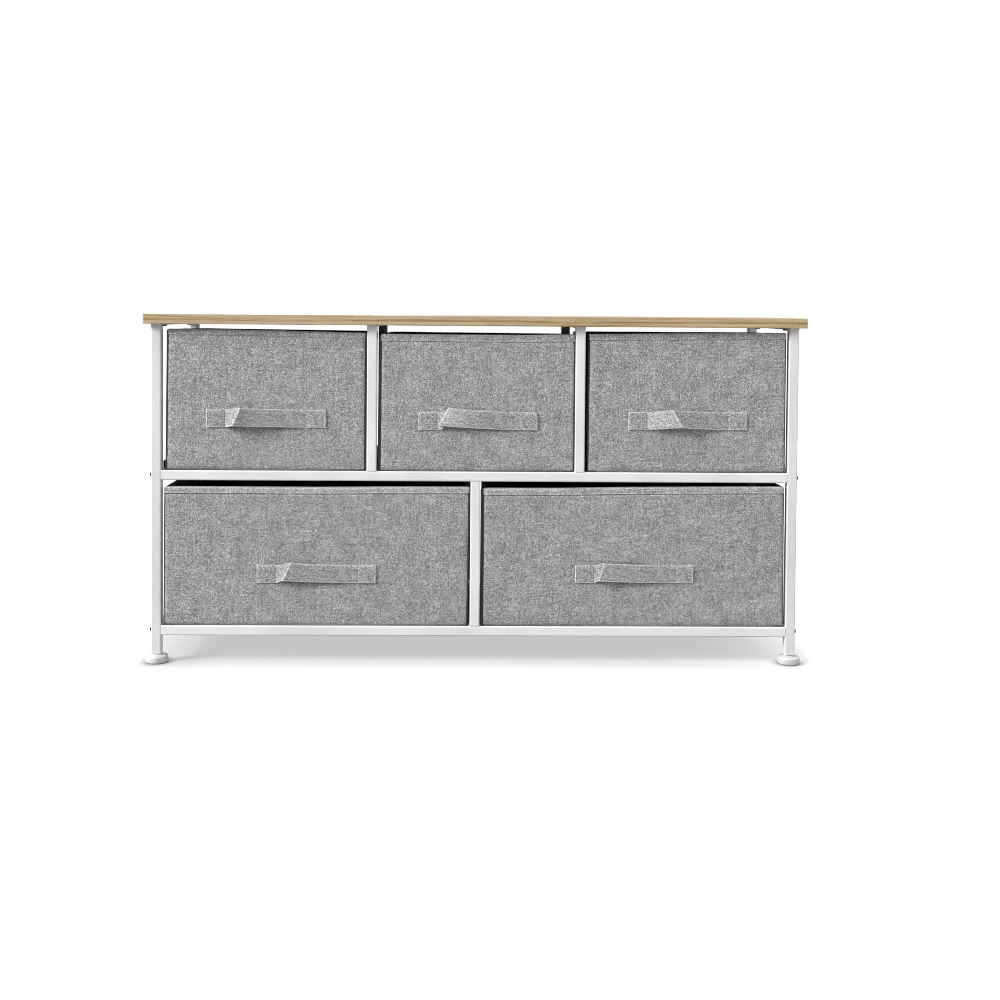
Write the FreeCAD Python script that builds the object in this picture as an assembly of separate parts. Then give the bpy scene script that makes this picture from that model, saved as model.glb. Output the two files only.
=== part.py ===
import FreeCAD, Part
import math
import os

# Five-drawer fabric dresser: a frame of square steel tube, a laminated board
# on top, four levelling feet, and five open fabric bins, three over two, that
# slide on bent sheet-metal runners.
#
# Millimetres. The origin is on the floor under the middle of the board, with
# +X to the right, +Y to the back and +Z up. The drawers pull out towards -Y.

# --- Board -------------------------------------------------------------------
BOARD_LENGTH = 1000.0
BOARD_DEPTH = 300.0
BOARD_THICKNESS = 15.0
BOARD_CORNER_RADIUS = 2.0
BOARD_EDGE_CHAMFER = 0.5
SIDE_OVERHANG = 10.0
FRONT_OVERHANG = 10.0

# --- Frame -------------------------------------------------------------------
TUBE_SIZE = 15.0
TUBE_WALL = 1.0
TUBE_CORNER_RADIUS = 2.0
FLOOR_GAP = 28.0            # end of a leg to the underside of the bottom rails
BAY_HEIGHT = 221.0          # clear height of each row of drawers
UPPER_BAY_SHARES = (1.01, 0.98, 1.01)   # relative clear widths, from the left
LOWER_BAY_SHARES = (1.0, 1.0)
TOP_STRAP_THICKNESS = 2.0
RAIL_END_PLATE = 3.0
SPIGOT_HEIGHT = 10.0
SPIGOT_CLEARANCE = 0.35     # clears the round corners of the bore

# --- Fasteners ---------------------------------------------------------------
BOLT_DIAMETER = 4.0
BOLT_HEAD_DIAMETER = 7.0
BOLT_HEAD_HEIGHT = 2.6
BOLT_REACH = 6.0            # length of the bolt inside the rail
BOARD_SCREW_DIAMETER = 3.5
BOARD_SCREW_HEAD_DIAMETER = 8.0
BOARD_SCREW_HEAD_HEIGHT = 2.4
BOARD_SCREW_BITE = 10.0     # length of the screw inside the board
BOARD_SCREW_INSET = 45.0    # centre of a post to its nearest screw
RUNNER_SCREW_DIAMETER = 3.0
RUNNER_SCREW_HEAD_DIAMETER = 5.6
RUNNER_SCREW_LENGTH = 8.0
HEAD_EDGE_CHAMFER = 0.8
HOLE_CLEARANCE = 0.2        # on the radius of a hole that a screw passes through
THREAD_CLEARANCE = 0.05     # on the radius of a hole that a screw bites in

# --- Runners -----------------------------------------------------------------
RUNNER_SHEET = 1.5
RUNNER_FLANGE = 18.0
RUNNER_UPSTAND = 13.0
RUNNER_BEND_RADIUS = 1.0    # inside of each bend
RUNNER_END_INSET = 3.0      # end of a runner to the outer face of the rail
RUNNER_POST_GAP = 0.5       # upstand to the post or leg at each end

# --- Drawers -----------------------------------------------------------------
DRAWER_SIDE_GAP = 4.0       # front panel to the posts on both sides
DRAWER_TOP_GAP = 10.0       # rim to the rail or board above
DRAWER_LIFT = 0.3           # running clearance over the runners
DRAWER_SETBACK = 4.0        # front panel behind the front of the frame
DRAWER_REAR_GAP = 8.0       # bin to the back of the frame
UPPER_DRAWER_PLAY = (3.2, 3.1, 1.3)     # rest place, right of the middle of the bay
LOWER_DRAWER_PLAY = (0.9, 1.5)
BIN_SIDE_INSET = 0.8        # side wall of the bin inside the edge of the panel
BIN_WALL = 2.6
BIN_FLOOR = 2.0
BIN_CORNER_RADIUS = 7.0
BIN_HEM_HEIGHT = 12.0
BIN_HEM_THICKNESS = 0.7
PANEL_THICKNESS = 4.5
PANEL_CORNER_RADIUS = 2.5
PANEL_EDGE_CHAMFER = 1.2
PANEL_HEM_DROP = 10.0       # rim to the stitched line of the hem
PANEL_HEM_GROOVE = 0.5
PANEL_HEM_GROOVE_WIDTH = 1.2
HEM_FOLD = 1.2              # cloth folded over the rim of the bin
HEM_FLAP = 14.0             # how far it hangs down inside
BASE_BOARD_THICKNESS = 2.5
BASE_BOARD_CLEARANCE = 1.0
BASE_BOARD_CORNER_RADIUS = 5.0

# --- Strap pulls -------------------------------------------------------------
STRAP_LENGTH = 180.0
STRAP_WIDTH = 27.0
STRAP_THICKNESS = 1.8
STRAP_END_LENGTH = 29.0
STRAP_END_THICKNESS = 2.4   # end of the strap folded under and sewn flat
STRAP_FINGER_GAP = 9.6
STRAP_FOLD_RADIUS = 12.0
STRAP_BELOW_RIM = 132.0     # rim of the drawer to the middle of the strap

# --- Feet --------------------------------------------------------------------
FOOT_HEIGHT = 14.0          # floor to the end of the leg
FOOT_RADIUS = 17.0
FOOT_BASE_RADIUS = 15.0
FOOT_EDGE_BASE = 2.5        # floor to the straight edge of the glide
FOOT_EDGE_HEIGHT = 3.0      # height of the straight edge
FOOT_SHOULDER_RADIUS = 11.5
FOOT_SHOULDER_HEIGHT = 11.6
FOOT_COLLAR_RADIUS = 8.5
FOOT_SEAT_GAP = 0.3
FOOT_STEM_DIAMETER = 6.0
FOOT_STEM_LENGTH = 24.0
INSERT_HEIGHT = 14.0
INSERT_CLEARANCE = 0.35     # clears the round corners of the bore
INSERT_THREAD_CLEARANCE = 0.3

# --- Modelling ---------------------------------------------------------------
CUT_MARGIN = 1.0            # how far a cutting tool passes the surface it cuts
TOLERANCE = 1e-6

# --- Places worked out from the sizes above ----------------------------------
FRAME_LENGTH = BOARD_LENGTH - 2 * SIDE_OVERHANG
FRAME_DEPTH = BOARD_DEPTH - 2 * FRONT_OVERHANG
LEG_X = FRAME_LENGTH / 2 - TUBE_SIZE / 2
POST_Y = FRAME_DEPTH / 2 - TUBE_SIZE / 2
CLEAR_LENGTH = FRAME_LENGTH - 2 * TUBE_SIZE
CLEAR_DEPTH = FRAME_DEPTH - 2 * TUBE_SIZE
LEG_BOTTOM = FOOT_HEIGHT
BOTTOM_RAIL_BASE = LEG_BOTTOM + FLOOR_GAP
BOTTOM_RAIL_TOP = BOTTOM_RAIL_BASE + TUBE_SIZE
MID_RAIL_BASE = BOTTOM_RAIL_TOP + BAY_HEIGHT
MID_RAIL_TOP = MID_RAIL_BASE + TUBE_SIZE
BOARD_BASE = MID_RAIL_TOP + BAY_HEIGHT
STRAP_BASE = BOARD_BASE - TOP_STRAP_THICKNESS
LEG_LENGTH = STRAP_BASE - LEG_BOTTOM
TUBE_BORE = TUBE_SIZE - 2 * TUBE_WALL

FRONT = -1
REAR = 1
ENDS = {"front": FRONT, "rear": REAR}
SIDES = {"left": -1, "right": 1}
ROWS = {
    "upper": {"shares": UPPER_BAY_SHARES, "play": UPPER_DRAWER_PLAY, "floor": MID_RAIL_TOP},
    "lower": {"shares": LOWER_BAY_SHARES, "play": LOWER_DRAWER_PLAY, "floor": BOTTOM_RAIL_TOP},
}


def bays(row):
    """The numbers of the bays in a row, from the left."""
    return range(len(ROWS[row]["shares"]))


def dividers(row):
    """The numbers of the posts between the bays of a row, from the left."""
    return bays(row)[:-1]


def bay_width(row, index):
    """Clear width of a bay."""
    shares = ROWS[row]["shares"]
    clear = CLEAR_LENGTH - len(dividers(row)) * TUBE_SIZE
    return clear * shares[index] / sum(shares)


def bay_left(row, index):
    """X of the left side of a bay."""
    passed = sum(bay_width(row, i) + TUBE_SIZE for i in range(index))
    return -CLEAR_LENGTH / 2 + passed


def bay_centre(row, index):
    """X of the middle of a bay."""
    return bay_left(row, index) + bay_width(row, index) / 2


def divider_centre(row, index):
    """X of the middle of the post to the right of a bay."""
    return bay_left(row, index) + bay_width(row, index) + TUBE_SIZE / 2


# --- Basic shapes ------------------------------------------------------------
def vector(x, y, z):
    """A point or a direction."""
    return FreeCAD.Vector(x, y, z)


def turn_to(shape, axis):
    """Turn a shape that was made along Z so that it lies along an axis."""
    if axis == "X":
        shape.rotate(vector(0, 0, 0), vector(0, 1, 0), 90)
    if axis == "Y":
        shape.rotate(vector(0, 0, 0), vector(1, 0, 0), -90)
    return shape


def rounded_face(width, depth, radius):
    """A rectangle with round corners, centred in the XY plane."""
    x, y = width / 2 - radius, depth / 2 - radius
    core = Part.makePlane(2 * x, 2 * y, vector(-x, -y, 0))
    return core.makeOffset2D(radius)


def rounded_prism(width, depth, height, radius, base):
    """An upright prism with round corners; base is the middle of its foot."""
    prism = rounded_face(width, depth, radius).extrude(vector(0, 0, height))
    prism.translate(vector(*base))
    return prism


def block(low, high):
    """A box between two corners."""
    size = [top - bottom for bottom, top in zip(low, high)]
    return Part.makeBox(size[0], size[1], size[2], vector(*low))


def rod(radius, length, axis, base):
    """A cylinder that starts at base and runs along an axis."""
    cylinder = turn_to(Part.makeCylinder(radius, length), axis)
    cylinder.translate(vector(*base))
    return cylinder


def square_tube(length, axis, base, end_plate=0.0):
    """A square tube from base along an axis, open or closed by end plates."""
    outer = rounded_face(TUBE_SIZE, TUBE_SIZE, TUBE_CORNER_RADIUS)
    inner = rounded_face(TUBE_BORE, TUBE_BORE, TUBE_CORNER_RADIUS - TUBE_WALL)
    bore = inner.extrude(vector(0, 0, length - 2 * end_plate))
    bore.translate(vector(0, 0, end_plate))
    tube = turn_to(outer.extrude(vector(0, 0, length)).cut(bore), axis)
    tube.translate(vector(*base))
    return tube


def revolve_outline(outline):
    """A turned body from the closed outline of its half section, as (radius, z)."""
    points = [vector(radius, 0, z) for radius, z in outline]
    face = Part.Face(Part.makePolygon(points + points[:1]))
    return face.revolve(vector(0, 0, 0), vector(0, 0, 1), 360)


# --- Board and fasteners -----------------------------------------------------
def strap_places():
    """X of each strap under the board: the side frames and the upper posts."""
    posts = [divider_centre("upper", index) for index in dividers("upper")]
    return [-LEG_X] + posts + [LEG_X]


def board_screw_places():
    """X and Y of the screws that hold the board."""
    y = POST_Y - BOARD_SCREW_INSET
    return [(x, end * y) for x in strap_places() for end in ENDS.values()]


def top_board():
    """The board, with a blind pilot hole over each screw."""
    board = rounded_prism(BOARD_LENGTH, BOARD_DEPTH, BOARD_THICKNESS,
                          BOARD_CORNER_RADIUS, (0, 0, BOARD_BASE))
    rims = [edge for edge in board.Edges if edge.BoundBox.ZLength < BOARD_EDGE_CHAMFER]
    board = board.makeChamfer(BOARD_EDGE_CHAMFER, rims)
    pilot = BOARD_SCREW_DIAMETER / 2 + THREAD_CLEARANCE
    holes = [rod(pilot, BOARD_SCREW_BITE + CUT_MARGIN, "Z", (x, y, BOARD_BASE))
             for x, y in board_screw_places()]
    return board.cut(Part.makeCompound(holes))


def pan_head_screw(diameter, length, head_diameter, head_height):
    """A screw along +Z with its head below the origin."""
    radius, shank = head_diameter / 2, diameter / 2
    shoulder = head_height - HEAD_EDGE_CHAMFER
    outline = [(0, length), (shank, length), (shank, 0), (radius, 0), (radius, -shoulder),
               (radius - HEAD_EDGE_CHAMFER, -head_height), (0, -head_height)]
    return revolve_outline(outline)


def board_screws():
    """Screws up through the straps into the board."""
    screws = []
    for x, y in board_screw_places():
        screw = pan_head_screw(BOARD_SCREW_DIAMETER, TOP_STRAP_THICKNESS + BOARD_SCREW_BITE,
                               BOARD_SCREW_HEAD_DIAMETER, BOARD_SCREW_HEAD_HEIGHT)
        screw.translate(vector(x, y, STRAP_BASE))
        screws.append(screw)
    return Part.makeCompound(screws)


def rail_heights():
    """Middle of the bottom and the middle rails."""
    return [BOTTOM_RAIL_BASE + TUBE_SIZE / 2, MID_RAIL_BASE + TUBE_SIZE / 2]


def rail_bolts():
    """Bolts through the legs into the ends of the front and rear rails."""
    bolts = []
    for side in SIDES.values():
        for end in ENDS.values():
            for height in rail_heights():
                bolt = pan_head_screw(BOLT_DIAMETER, TUBE_SIZE + BOLT_REACH,
                                      BOLT_HEAD_DIAMETER, BOLT_HEAD_HEIGHT)
                bolt.rotate(vector(0, 0, 0), vector(0, 1, 0), -side * 90)
                bolt.translate(vector(side * FRAME_LENGTH / 2, end * POST_Y, height))
                bolts.append(bolt)
    return Part.makeCompound(bolts)


# --- Frame -------------------------------------------------------------------
def leg(side, end):
    """A leg with the clearance holes for its two rail bolts."""
    tube = square_tube(LEG_LENGTH, "Z", (side * LEG_X, end * POST_Y, LEG_BOTTOM))
    radius = BOLT_DIAMETER / 2 + HOLE_CLEARANCE
    start = side * LEG_X - TUBE_SIZE
    holes = [rod(radius, 2 * TUBE_SIZE, "X", (start, end * POST_Y, height))
             for height in rail_heights()]
    return tube.cut(Part.makeCompound(holes))


def side_rail(side, base):
    """A cross tube between the two legs of one side frame."""
    return square_tube(CLEAR_DEPTH, "Y", (side * LEG_X, -CLEAR_DEPTH / 2, base + TUBE_SIZE / 2))


def long_rail(end, base, row):
    """A front or rear rail with threaded end plates and runner screw holes."""
    rail = square_tube(CLEAR_LENGTH, "X", (-CLEAR_LENGTH / 2, end * POST_Y, base + TUBE_SIZE / 2),
                       end_plate=RAIL_END_PLATE)
    thread = BOLT_DIAMETER / 2 + THREAD_CLEARANCE
    tapped = rod(thread, CLEAR_LENGTH + 2 * CUT_MARGIN, "X",
                 (-CLEAR_LENGTH / 2 - CUT_MARGIN, end * POST_Y, base + TUBE_SIZE / 2))
    pilot = RUNNER_SCREW_DIAMETER / 2 + THREAD_CLEARANCE
    start = base + TUBE_SIZE - TUBE_WALL - CUT_MARGIN
    holes = [rod(pilot, TUBE_WALL + 2 * CUT_MARGIN, "Z", (x, end * POST_Y, start))
             for x in runner_screw_places(row)]
    return rail.cut(Part.makeCompound([tapped] + holes))


def top_strap(x):
    """A flat strap on the tops of a front and a rear post, under the board."""
    half = TUBE_SIZE / 2
    strap = block((x - half, -FRAME_DEPTH / 2, STRAP_BASE), (x + half, FRAME_DEPTH / 2, BOARD_BASE))
    radius = BOARD_SCREW_DIAMETER / 2 + HOLE_CLEARANCE
    depth = TOP_STRAP_THICKNESS + 2 * CUT_MARGIN
    holes = [rod(radius, depth, "Z", (sx, sy, STRAP_BASE - CUT_MARGIN))
             for sx, sy in board_screw_places() if sx == x]
    return strap.cut(Part.makeCompound(holes))


def divider_post(row, index, end):
    """A post between two bays; upper posts end under their strap."""
    height = BAY_HEIGHT - (TOP_STRAP_THICKNESS if row == "upper" else 0)
    return square_tube(height, "Z", (divider_centre(row, index), end * POST_Y, ROWS[row]["floor"]))


def spigot(x, y, base):
    """A square peg on a rail that holds the end of a divider post."""
    half = TUBE_BORE / 2 - SPIGOT_CLEARANCE
    return block((x - half, y - half, base), (x + half, y + half, base + SPIGOT_HEIGHT))


def divider_spigots():
    """Pegs at the foot of each divider post and at the head of each lower one."""
    pegs = []
    for end in ENDS.values():
        for row, sizes in ROWS.items():
            for index in dividers(row):
                x = divider_centre(row, index)
                pegs.append(spigot(x, end * POST_Y, sizes["floor"]))
                if row == "lower":
                    pegs.append(spigot(x, end * POST_Y, MID_RAIL_BASE - SPIGOT_HEIGHT))
    return Part.makeCompound(pegs)


# --- Runners -----------------------------------------------------------------
def sheet_section(points, radii):
    """A bent sheet's section in XZ: a chain of lines with an arc at each bend.

    points are the corners of one face of the sheet and radii the bends at the
    corners between its ends. The other face is a second chain, so the caller
    gives both faces as one closed loop.
    """
    edges = []
    count = len(points)
    trimmed = []
    for i in range(count):
        corner = vector(points[i][0], 0, points[i][1])
        before = vector(points[i - 1][0], 0, points[i - 1][1])
        after = vector(points[(i + 1) % count][0], 0, points[(i + 1) % count][1])
        if radii[i] == 0:
            trimmed.append((corner, corner, corner))
            continue
        back = (before - corner).normalize() * radii[i]
        forth = (after - corner).normalize() * radii[i]
        centre = corner + back + forth
        middle = centre + (corner - centre).normalize() * radii[i]
        trimmed.append((corner + back, middle, corner + forth))
    for i in range(count):
        enter, middle, leave = trimmed[i]
        if radii[i] != 0:
            edges.append(Part.Arc(enter, middle, leave).toShape())
        edges.append(Part.LineSegment(leave, trimmed[(i + 1) % count][0]).toShape())
    return Part.Face(Part.Wire(edges))


def sweep_depth(face, length):
    """A section extruded along Y, centred on the frame."""
    solid = face.extrude(vector(0, length, 0))
    solid.translate(vector(0, -length / 2, 0))
    return solid


def runner_screw_places(row):
    """X of the runner screws along a rail: one near each side of each bay."""
    places = []
    for index in bays(row):
        reach = bay_width(row, index) / 2 - RUNNER_FLANGE / 2
        places.extend(bay_centre(row, index) + side * reach for side in SIDES.values())
    return places


def runner_screw_holes(row, z):
    """Countersunk holes for the runner screws of a row, from the flange top."""
    shank = RUNNER_SCREW_DIAMETER / 2 + HOLE_CLEARANCE
    head = RUNNER_SCREW_HEAD_DIAMETER / 2 + HOLE_CLEARANCE
    holes = []
    for x in runner_screw_places(row):
        for end in ENDS.values():
            cone = Part.makeCone(shank, head, RUNNER_SHEET, vector(x, end * POST_Y, z - RUNNER_SHEET))
            holes.append(cone)
    return Part.makeCompound(holes)


def runner_length():
    """Length of the flanges that lie on the front and rear rails."""
    return FRAME_DEPTH - 2 * RUNNER_END_INSET


def side_runner(row, side):
    """An angle along a side frame: a flange on the rails and an upstand."""
    floor = ROWS[row]["floor"]
    sheet, bend = RUNNER_SHEET, RUNNER_BEND_RADIUS
    outer = CLEAR_LENGTH / 2
    corners = [(outer, floor), (outer, floor + RUNNER_UPSTAND),
               (outer - sheet, floor + RUNNER_UPSTAND), (outer - sheet, floor + sheet),
               (outer - RUNNER_FLANGE, floor + sheet), (outer - RUNNER_FLANGE, floor)]
    section = sheet_section([(side * x, z) for x, z in corners],
                            [bend + sheet, 0, 0, bend, 0, 0])
    angle = sweep_depth(section, CLEAR_DEPTH - 2 * RUNNER_POST_GAP)
    inner_edge, outer_edge = sorted((side * (outer - RUNNER_FLANGE), side * (outer - bend - sheet)))
    tongue = block((inner_edge, -runner_length() / 2, floor),
                   (outer_edge, runner_length() / 2, floor + sheet))
    return angle.fuse(tongue).removeSplitter().cut(runner_screw_holes(row, floor + sheet))


def centre_runner(row, index):
    """A hat section between two bays, with a flange for each of them."""
    floor = ROWS[row]["floor"]
    sheet, bend = RUNNER_SHEET, RUNNER_BEND_RADIUS
    half, reach, top = TUBE_SIZE / 2, TUBE_SIZE / 2 + RUNNER_FLANGE, floor + RUNNER_UPSTAND
    right = [(reach, floor), (reach, floor + sheet), (half, floor + sheet), (half, top)]
    inner_half = half - sheet
    inside = [(-inner_half, floor), (-inner_half, top - sheet),
              (inner_half, top - sheet), (inner_half, floor)]
    left = [(-x, z) for x, z in reversed(right)]
    radii = [0, 0, bend, bend + sheet, bend + sheet, bend, 0, 0,
             bend + sheet, bend, bend, bend + sheet]
    section = sheet_section(right + left + inside, radii)
    hat = sweep_depth(section, CLEAR_DEPTH - 2 * RUNNER_POST_GAP)
    for side in SIDES.values():
        near, far = sorted((side * (half + bend + sheet), side * reach))
        tongue = block((near, -runner_length() / 2, floor), (far, runner_length() / 2, floor + sheet))
        hat = hat.fuse(tongue)
    hat.translate(vector(divider_centre(row, index), 0, 0))
    return hat.removeSplitter().cut(runner_screw_holes(row, floor + sheet))


def runner_screws():
    """Countersunk screws that hold the runners on the rails."""
    shank, head = RUNNER_SCREW_DIAMETER / 2, RUNNER_SCREW_HEAD_DIAMETER / 2
    screws = []
    for row, sizes in ROWS.items():
        top = sizes["floor"] + RUNNER_SHEET
        for x in runner_screw_places(row):
            for end in ENDS.values():
                cone = Part.makeCone(shank, head, RUNNER_SHEET,
                                     vector(x, end * POST_Y, top - RUNNER_SHEET))
                length = RUNNER_SCREW_LENGTH - RUNNER_SHEET
                body = rod(shank, length, "Z", (x, end * POST_Y, top - RUNNER_SCREW_LENGTH))
                screws.append(cone.fuse(body).removeSplitter())
    return Part.makeCompound(screws)


# --- Drawers -----------------------------------------------------------------
def drawer_sizes(row, index):
    """Named places of one drawer, all worked out from its bay."""
    sizes = ROWS[row]
    width = bay_width(row, index) - 2 * DRAWER_SIDE_GAP
    face = -FRAME_DEPTH / 2 + DRAWER_SETBACK
    bin_front = face + PANEL_THICKNESS
    bin_back = FRAME_DEPTH / 2 - DRAWER_REAR_GAP
    base = sizes["floor"] + RUNNER_SHEET + DRAWER_LIFT
    rim = sizes["floor"] + BAY_HEIGHT - DRAWER_TOP_GAP
    return {
        "x": bay_centre(row, index) + sizes["play"][index], "width": width,
        "bin_width": width - 2 * BIN_SIDE_INSET,
        "inner_width": width - 2 * BIN_SIDE_INSET - 2 * BIN_WALL,
        "fold_half": width / 2 - BIN_SIDE_INSET - BIN_CORNER_RADIUS,
        "face": face, "bin_front": bin_front, "bin_back": bin_back,
        "base": base, "rim": rim,
    }


def drawer_bin(row, index):
    """The open fabric bin: floor, four walls, and a doubled hem at the rim."""
    d = drawer_sizes(row, index)
    depth = d["bin_back"] - d["bin_front"]
    middle = (d["bin_back"] + d["bin_front"]) / 2
    height = d["rim"] - d["base"]
    outer = rounded_prism(d["bin_width"], depth, height, BIN_CORNER_RADIUS, (d["x"], middle, d["base"]))
    hem_depth = depth - BIN_WALL
    hem = rounded_prism(d["bin_width"] + 2 * BIN_HEM_THICKNESS, hem_depth + BIN_HEM_THICKNESS,
                        BIN_HEM_HEIGHT, BIN_CORNER_RADIUS + BIN_HEM_THICKNESS,
                        (d["x"], middle + (BIN_WALL + BIN_HEM_THICKNESS) / 2, d["rim"] - BIN_HEM_HEIGHT))
    cavity = rounded_prism(d["inner_width"], depth - 2 * BIN_WALL, height,
                           BIN_CORNER_RADIUS - BIN_WALL, (d["x"], middle, d["base"] + BIN_FLOOR))
    half = d["fold_half"]
    fold_seat = block((d["x"] - half, d["bin_front"] - CUT_MARGIN, d["rim"] - HEM_FOLD),
                      (d["x"] + half, d["bin_front"] + BIN_CORNER_RADIUS, d["rim"] + CUT_MARGIN))
    return outer.fuse(hem).cut(cavity).cut(fold_seat)


def drawer_front(row, index):
    """The front panel, with its cloth folded over the rim of the bin."""
    d = drawer_sizes(row, index)
    height = d["rim"] - d["base"]
    outline = rounded_face(d["width"], height, PANEL_CORNER_RADIUS)
    panel = turn_to(outline.extrude(vector(0, 0, PANEL_THICKNESS)), "Y")
    panel.translate(vector(d["x"], d["face"], d["base"] + height / 2))
    face_edges = [edge for edge in panel.Edges if edge.BoundBox.YMax < d["face"] + PANEL_EDGE_CHAMFER]
    panel = panel.makeChamfer(PANEL_EDGE_CHAMFER, face_edges)
    half_groove = PANEL_HEM_GROOVE_WIDTH / 2
    stitch = d["rim"] - PANEL_HEM_DROP
    groove = block((d["x"] - d["width"], d["face"] - CUT_MARGIN, stitch - half_groove),
                   (d["x"] + d["width"], d["face"] + PANEL_HEM_GROOVE, stitch + half_groove))
    half = d["fold_half"]
    inner = d["bin_front"] + BIN_WALL
    fold = block((d["x"] - half, d["bin_front"], d["rim"] - HEM_FOLD),
                 (d["x"] + half, inner + HEM_FOLD, d["rim"]))
    flap = block((d["x"] - half, inner, d["rim"] - HEM_FLAP), (d["x"] + half, inner + HEM_FOLD, d["rim"]))
    return panel.cut(groove).fuse(fold).fuse(flap).removeSplitter()


def drawer_base_board(row, index):
    """The loose board that keeps the floor of the bin flat."""
    d = drawer_sizes(row, index)
    depth = d["bin_back"] - d["bin_front"] - 2 * BIN_WALL
    middle = (d["bin_back"] + d["bin_front"]) / 2
    return rounded_prism(d["inner_width"] - 2 * BASE_BOARD_CLEARANCE, depth - 2 * BASE_BOARD_CLEARANCE,
                         BASE_BOARD_THICKNESS, BASE_BOARD_CORNER_RADIUS,
                         (d["x"], middle, d["base"] + BIN_FLOOR))


def bow_face(offset):
    """One face of the bow seen from above, from left to right: fold, crown, fold.

    offset is how far this face lies outside the middle of the strap.
    """
    span = STRAP_LENGTH / 2 - STRAP_END_LENGTH
    angle = 2 * math.atan(STRAP_FINGER_GAP / span)
    crown_radius = span / math.sin(angle) - STRAP_FOLD_RADIUS
    seat = -STRAP_THICKNESS / 2
    crown_y = seat - STRAP_FINGER_GAP + crown_radius
    fold_y = seat - STRAP_FOLD_RADIUS

    def crown(turn):
        reach = crown_radius + offset
        return vector(reach * math.sin(turn), crown_y - reach * math.cos(turn), 0)

    def fold(side, turn):
        reach = STRAP_FOLD_RADIUS - offset
        return vector(side * (span - reach * math.sin(turn)), fold_y + reach * math.cos(turn), 0)

    arcs = [
        (fold(-1, 0), fold(-1, angle / 2), fold(-1, angle)),
        (crown(-angle), crown(0), crown(angle)),
        (fold(1, angle), fold(1, angle / 2), fold(1, 0)),
    ]
    return [Part.Arc(*points).toShape() for points in arcs]


def strap_end(side):
    """One end of the strap, folded under and sewn flat, with a round outer edge."""
    near, far = sorted((side * (STRAP_LENGTH / 2 - STRAP_END_LENGTH), side * STRAP_LENGTH / 2))
    end = block((near, -STRAP_END_THICKNESS, 0), (far, 0, STRAP_WIDTH))
    tip = Part.Vertex(side * STRAP_LENGTH / 2, -STRAP_END_THICKNESS, STRAP_WIDTH / 2)
    outer_edge = [edge for edge in end.Edges if edge.distToShape(tip)[0] < TOLERANCE]
    return end.makeFillet(STRAP_END_THICKNESS / 2, outer_edge)


def drawer_handle(row, index):
    """A strap bowed out between two flat ends that are sewn to the panel."""
    d = drawer_sizes(row, index)
    half = STRAP_THICKNESS / 2
    span = STRAP_LENGTH / 2 - STRAP_END_LENGTH
    ends = [Part.makeLine(vector(side * span, -STRAP_THICKNESS, 0), vector(side * span, 0, 0))
            for side in SIDES.values()]
    loop = Part.__sortEdges__(bow_face(half) + bow_face(-half) + ends)
    strap = Part.Face(Part.Wire(loop)).extrude(vector(0, 0, STRAP_WIDTH))
    for side in SIDES.values():
        strap = strap.fuse(strap_end(side))
    strap.translate(vector(d["x"], d["face"], d["rim"] - STRAP_BELOW_RIM - STRAP_WIDTH / 2))
    return strap.removeSplitter()


# --- Feet --------------------------------------------------------------------
def levelling_foot(side, end):
    """A round glide with a domed shoulder, a collar and a threaded stem."""
    top = FOOT_HEIGHT - FOOT_SEAT_GAP
    stem = FOOT_STEM_DIAMETER / 2
    dome_base = FOOT_EDGE_BASE + FOOT_EDGE_HEIGHT
    dome_run = FOOT_RADIUS - FOOT_SHOULDER_RADIUS
    dome_rise = FOOT_SHOULDER_HEIGHT - dome_base
    bend = math.sqrt(0.5)
    outline = [(0, 0), (FOOT_BASE_RADIUS, 0), (FOOT_RADIUS, FOOT_EDGE_BASE), (FOOT_RADIUS, dome_base),
               (FOOT_SHOULDER_RADIUS + dome_run * bend, dome_base + dome_rise * bend),
               (FOOT_SHOULDER_RADIUS, FOOT_SHOULDER_HEIGHT), (FOOT_COLLAR_RADIUS, FOOT_SHOULDER_HEIGHT),
               (FOOT_COLLAR_RADIUS, top), (stem, top), (stem, top + FOOT_STEM_LENGTH),
               (0, top + FOOT_STEM_LENGTH)]
    foot = revolve_outline(outline)
    foot.translate(vector(side * LEG_X, end * POST_Y, 0))
    return foot


def foot_inserts():
    """Threaded plugs in the ends of the legs."""
    half = TUBE_BORE / 2 - INSERT_CLEARANCE
    inserts = []
    for side in SIDES.values():
        for end in ENDS.values():
            x, y = side * LEG_X, end * POST_Y
            plug = block((x - half, y - half, LEG_BOTTOM), (x + half, y + half, LEG_BOTTOM + INSERT_HEIGHT))
            thread = rod(FOOT_STEM_DIAMETER / 2 + INSERT_THREAD_CLEARANCE,
                         INSERT_HEIGHT + 2 * CUT_MARGIN, "Z", (x, y, LEG_BOTTOM - CUT_MARGIN))
            inserts.append(plug.cut(thread))
    return Part.makeCompound(inserts)


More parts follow.
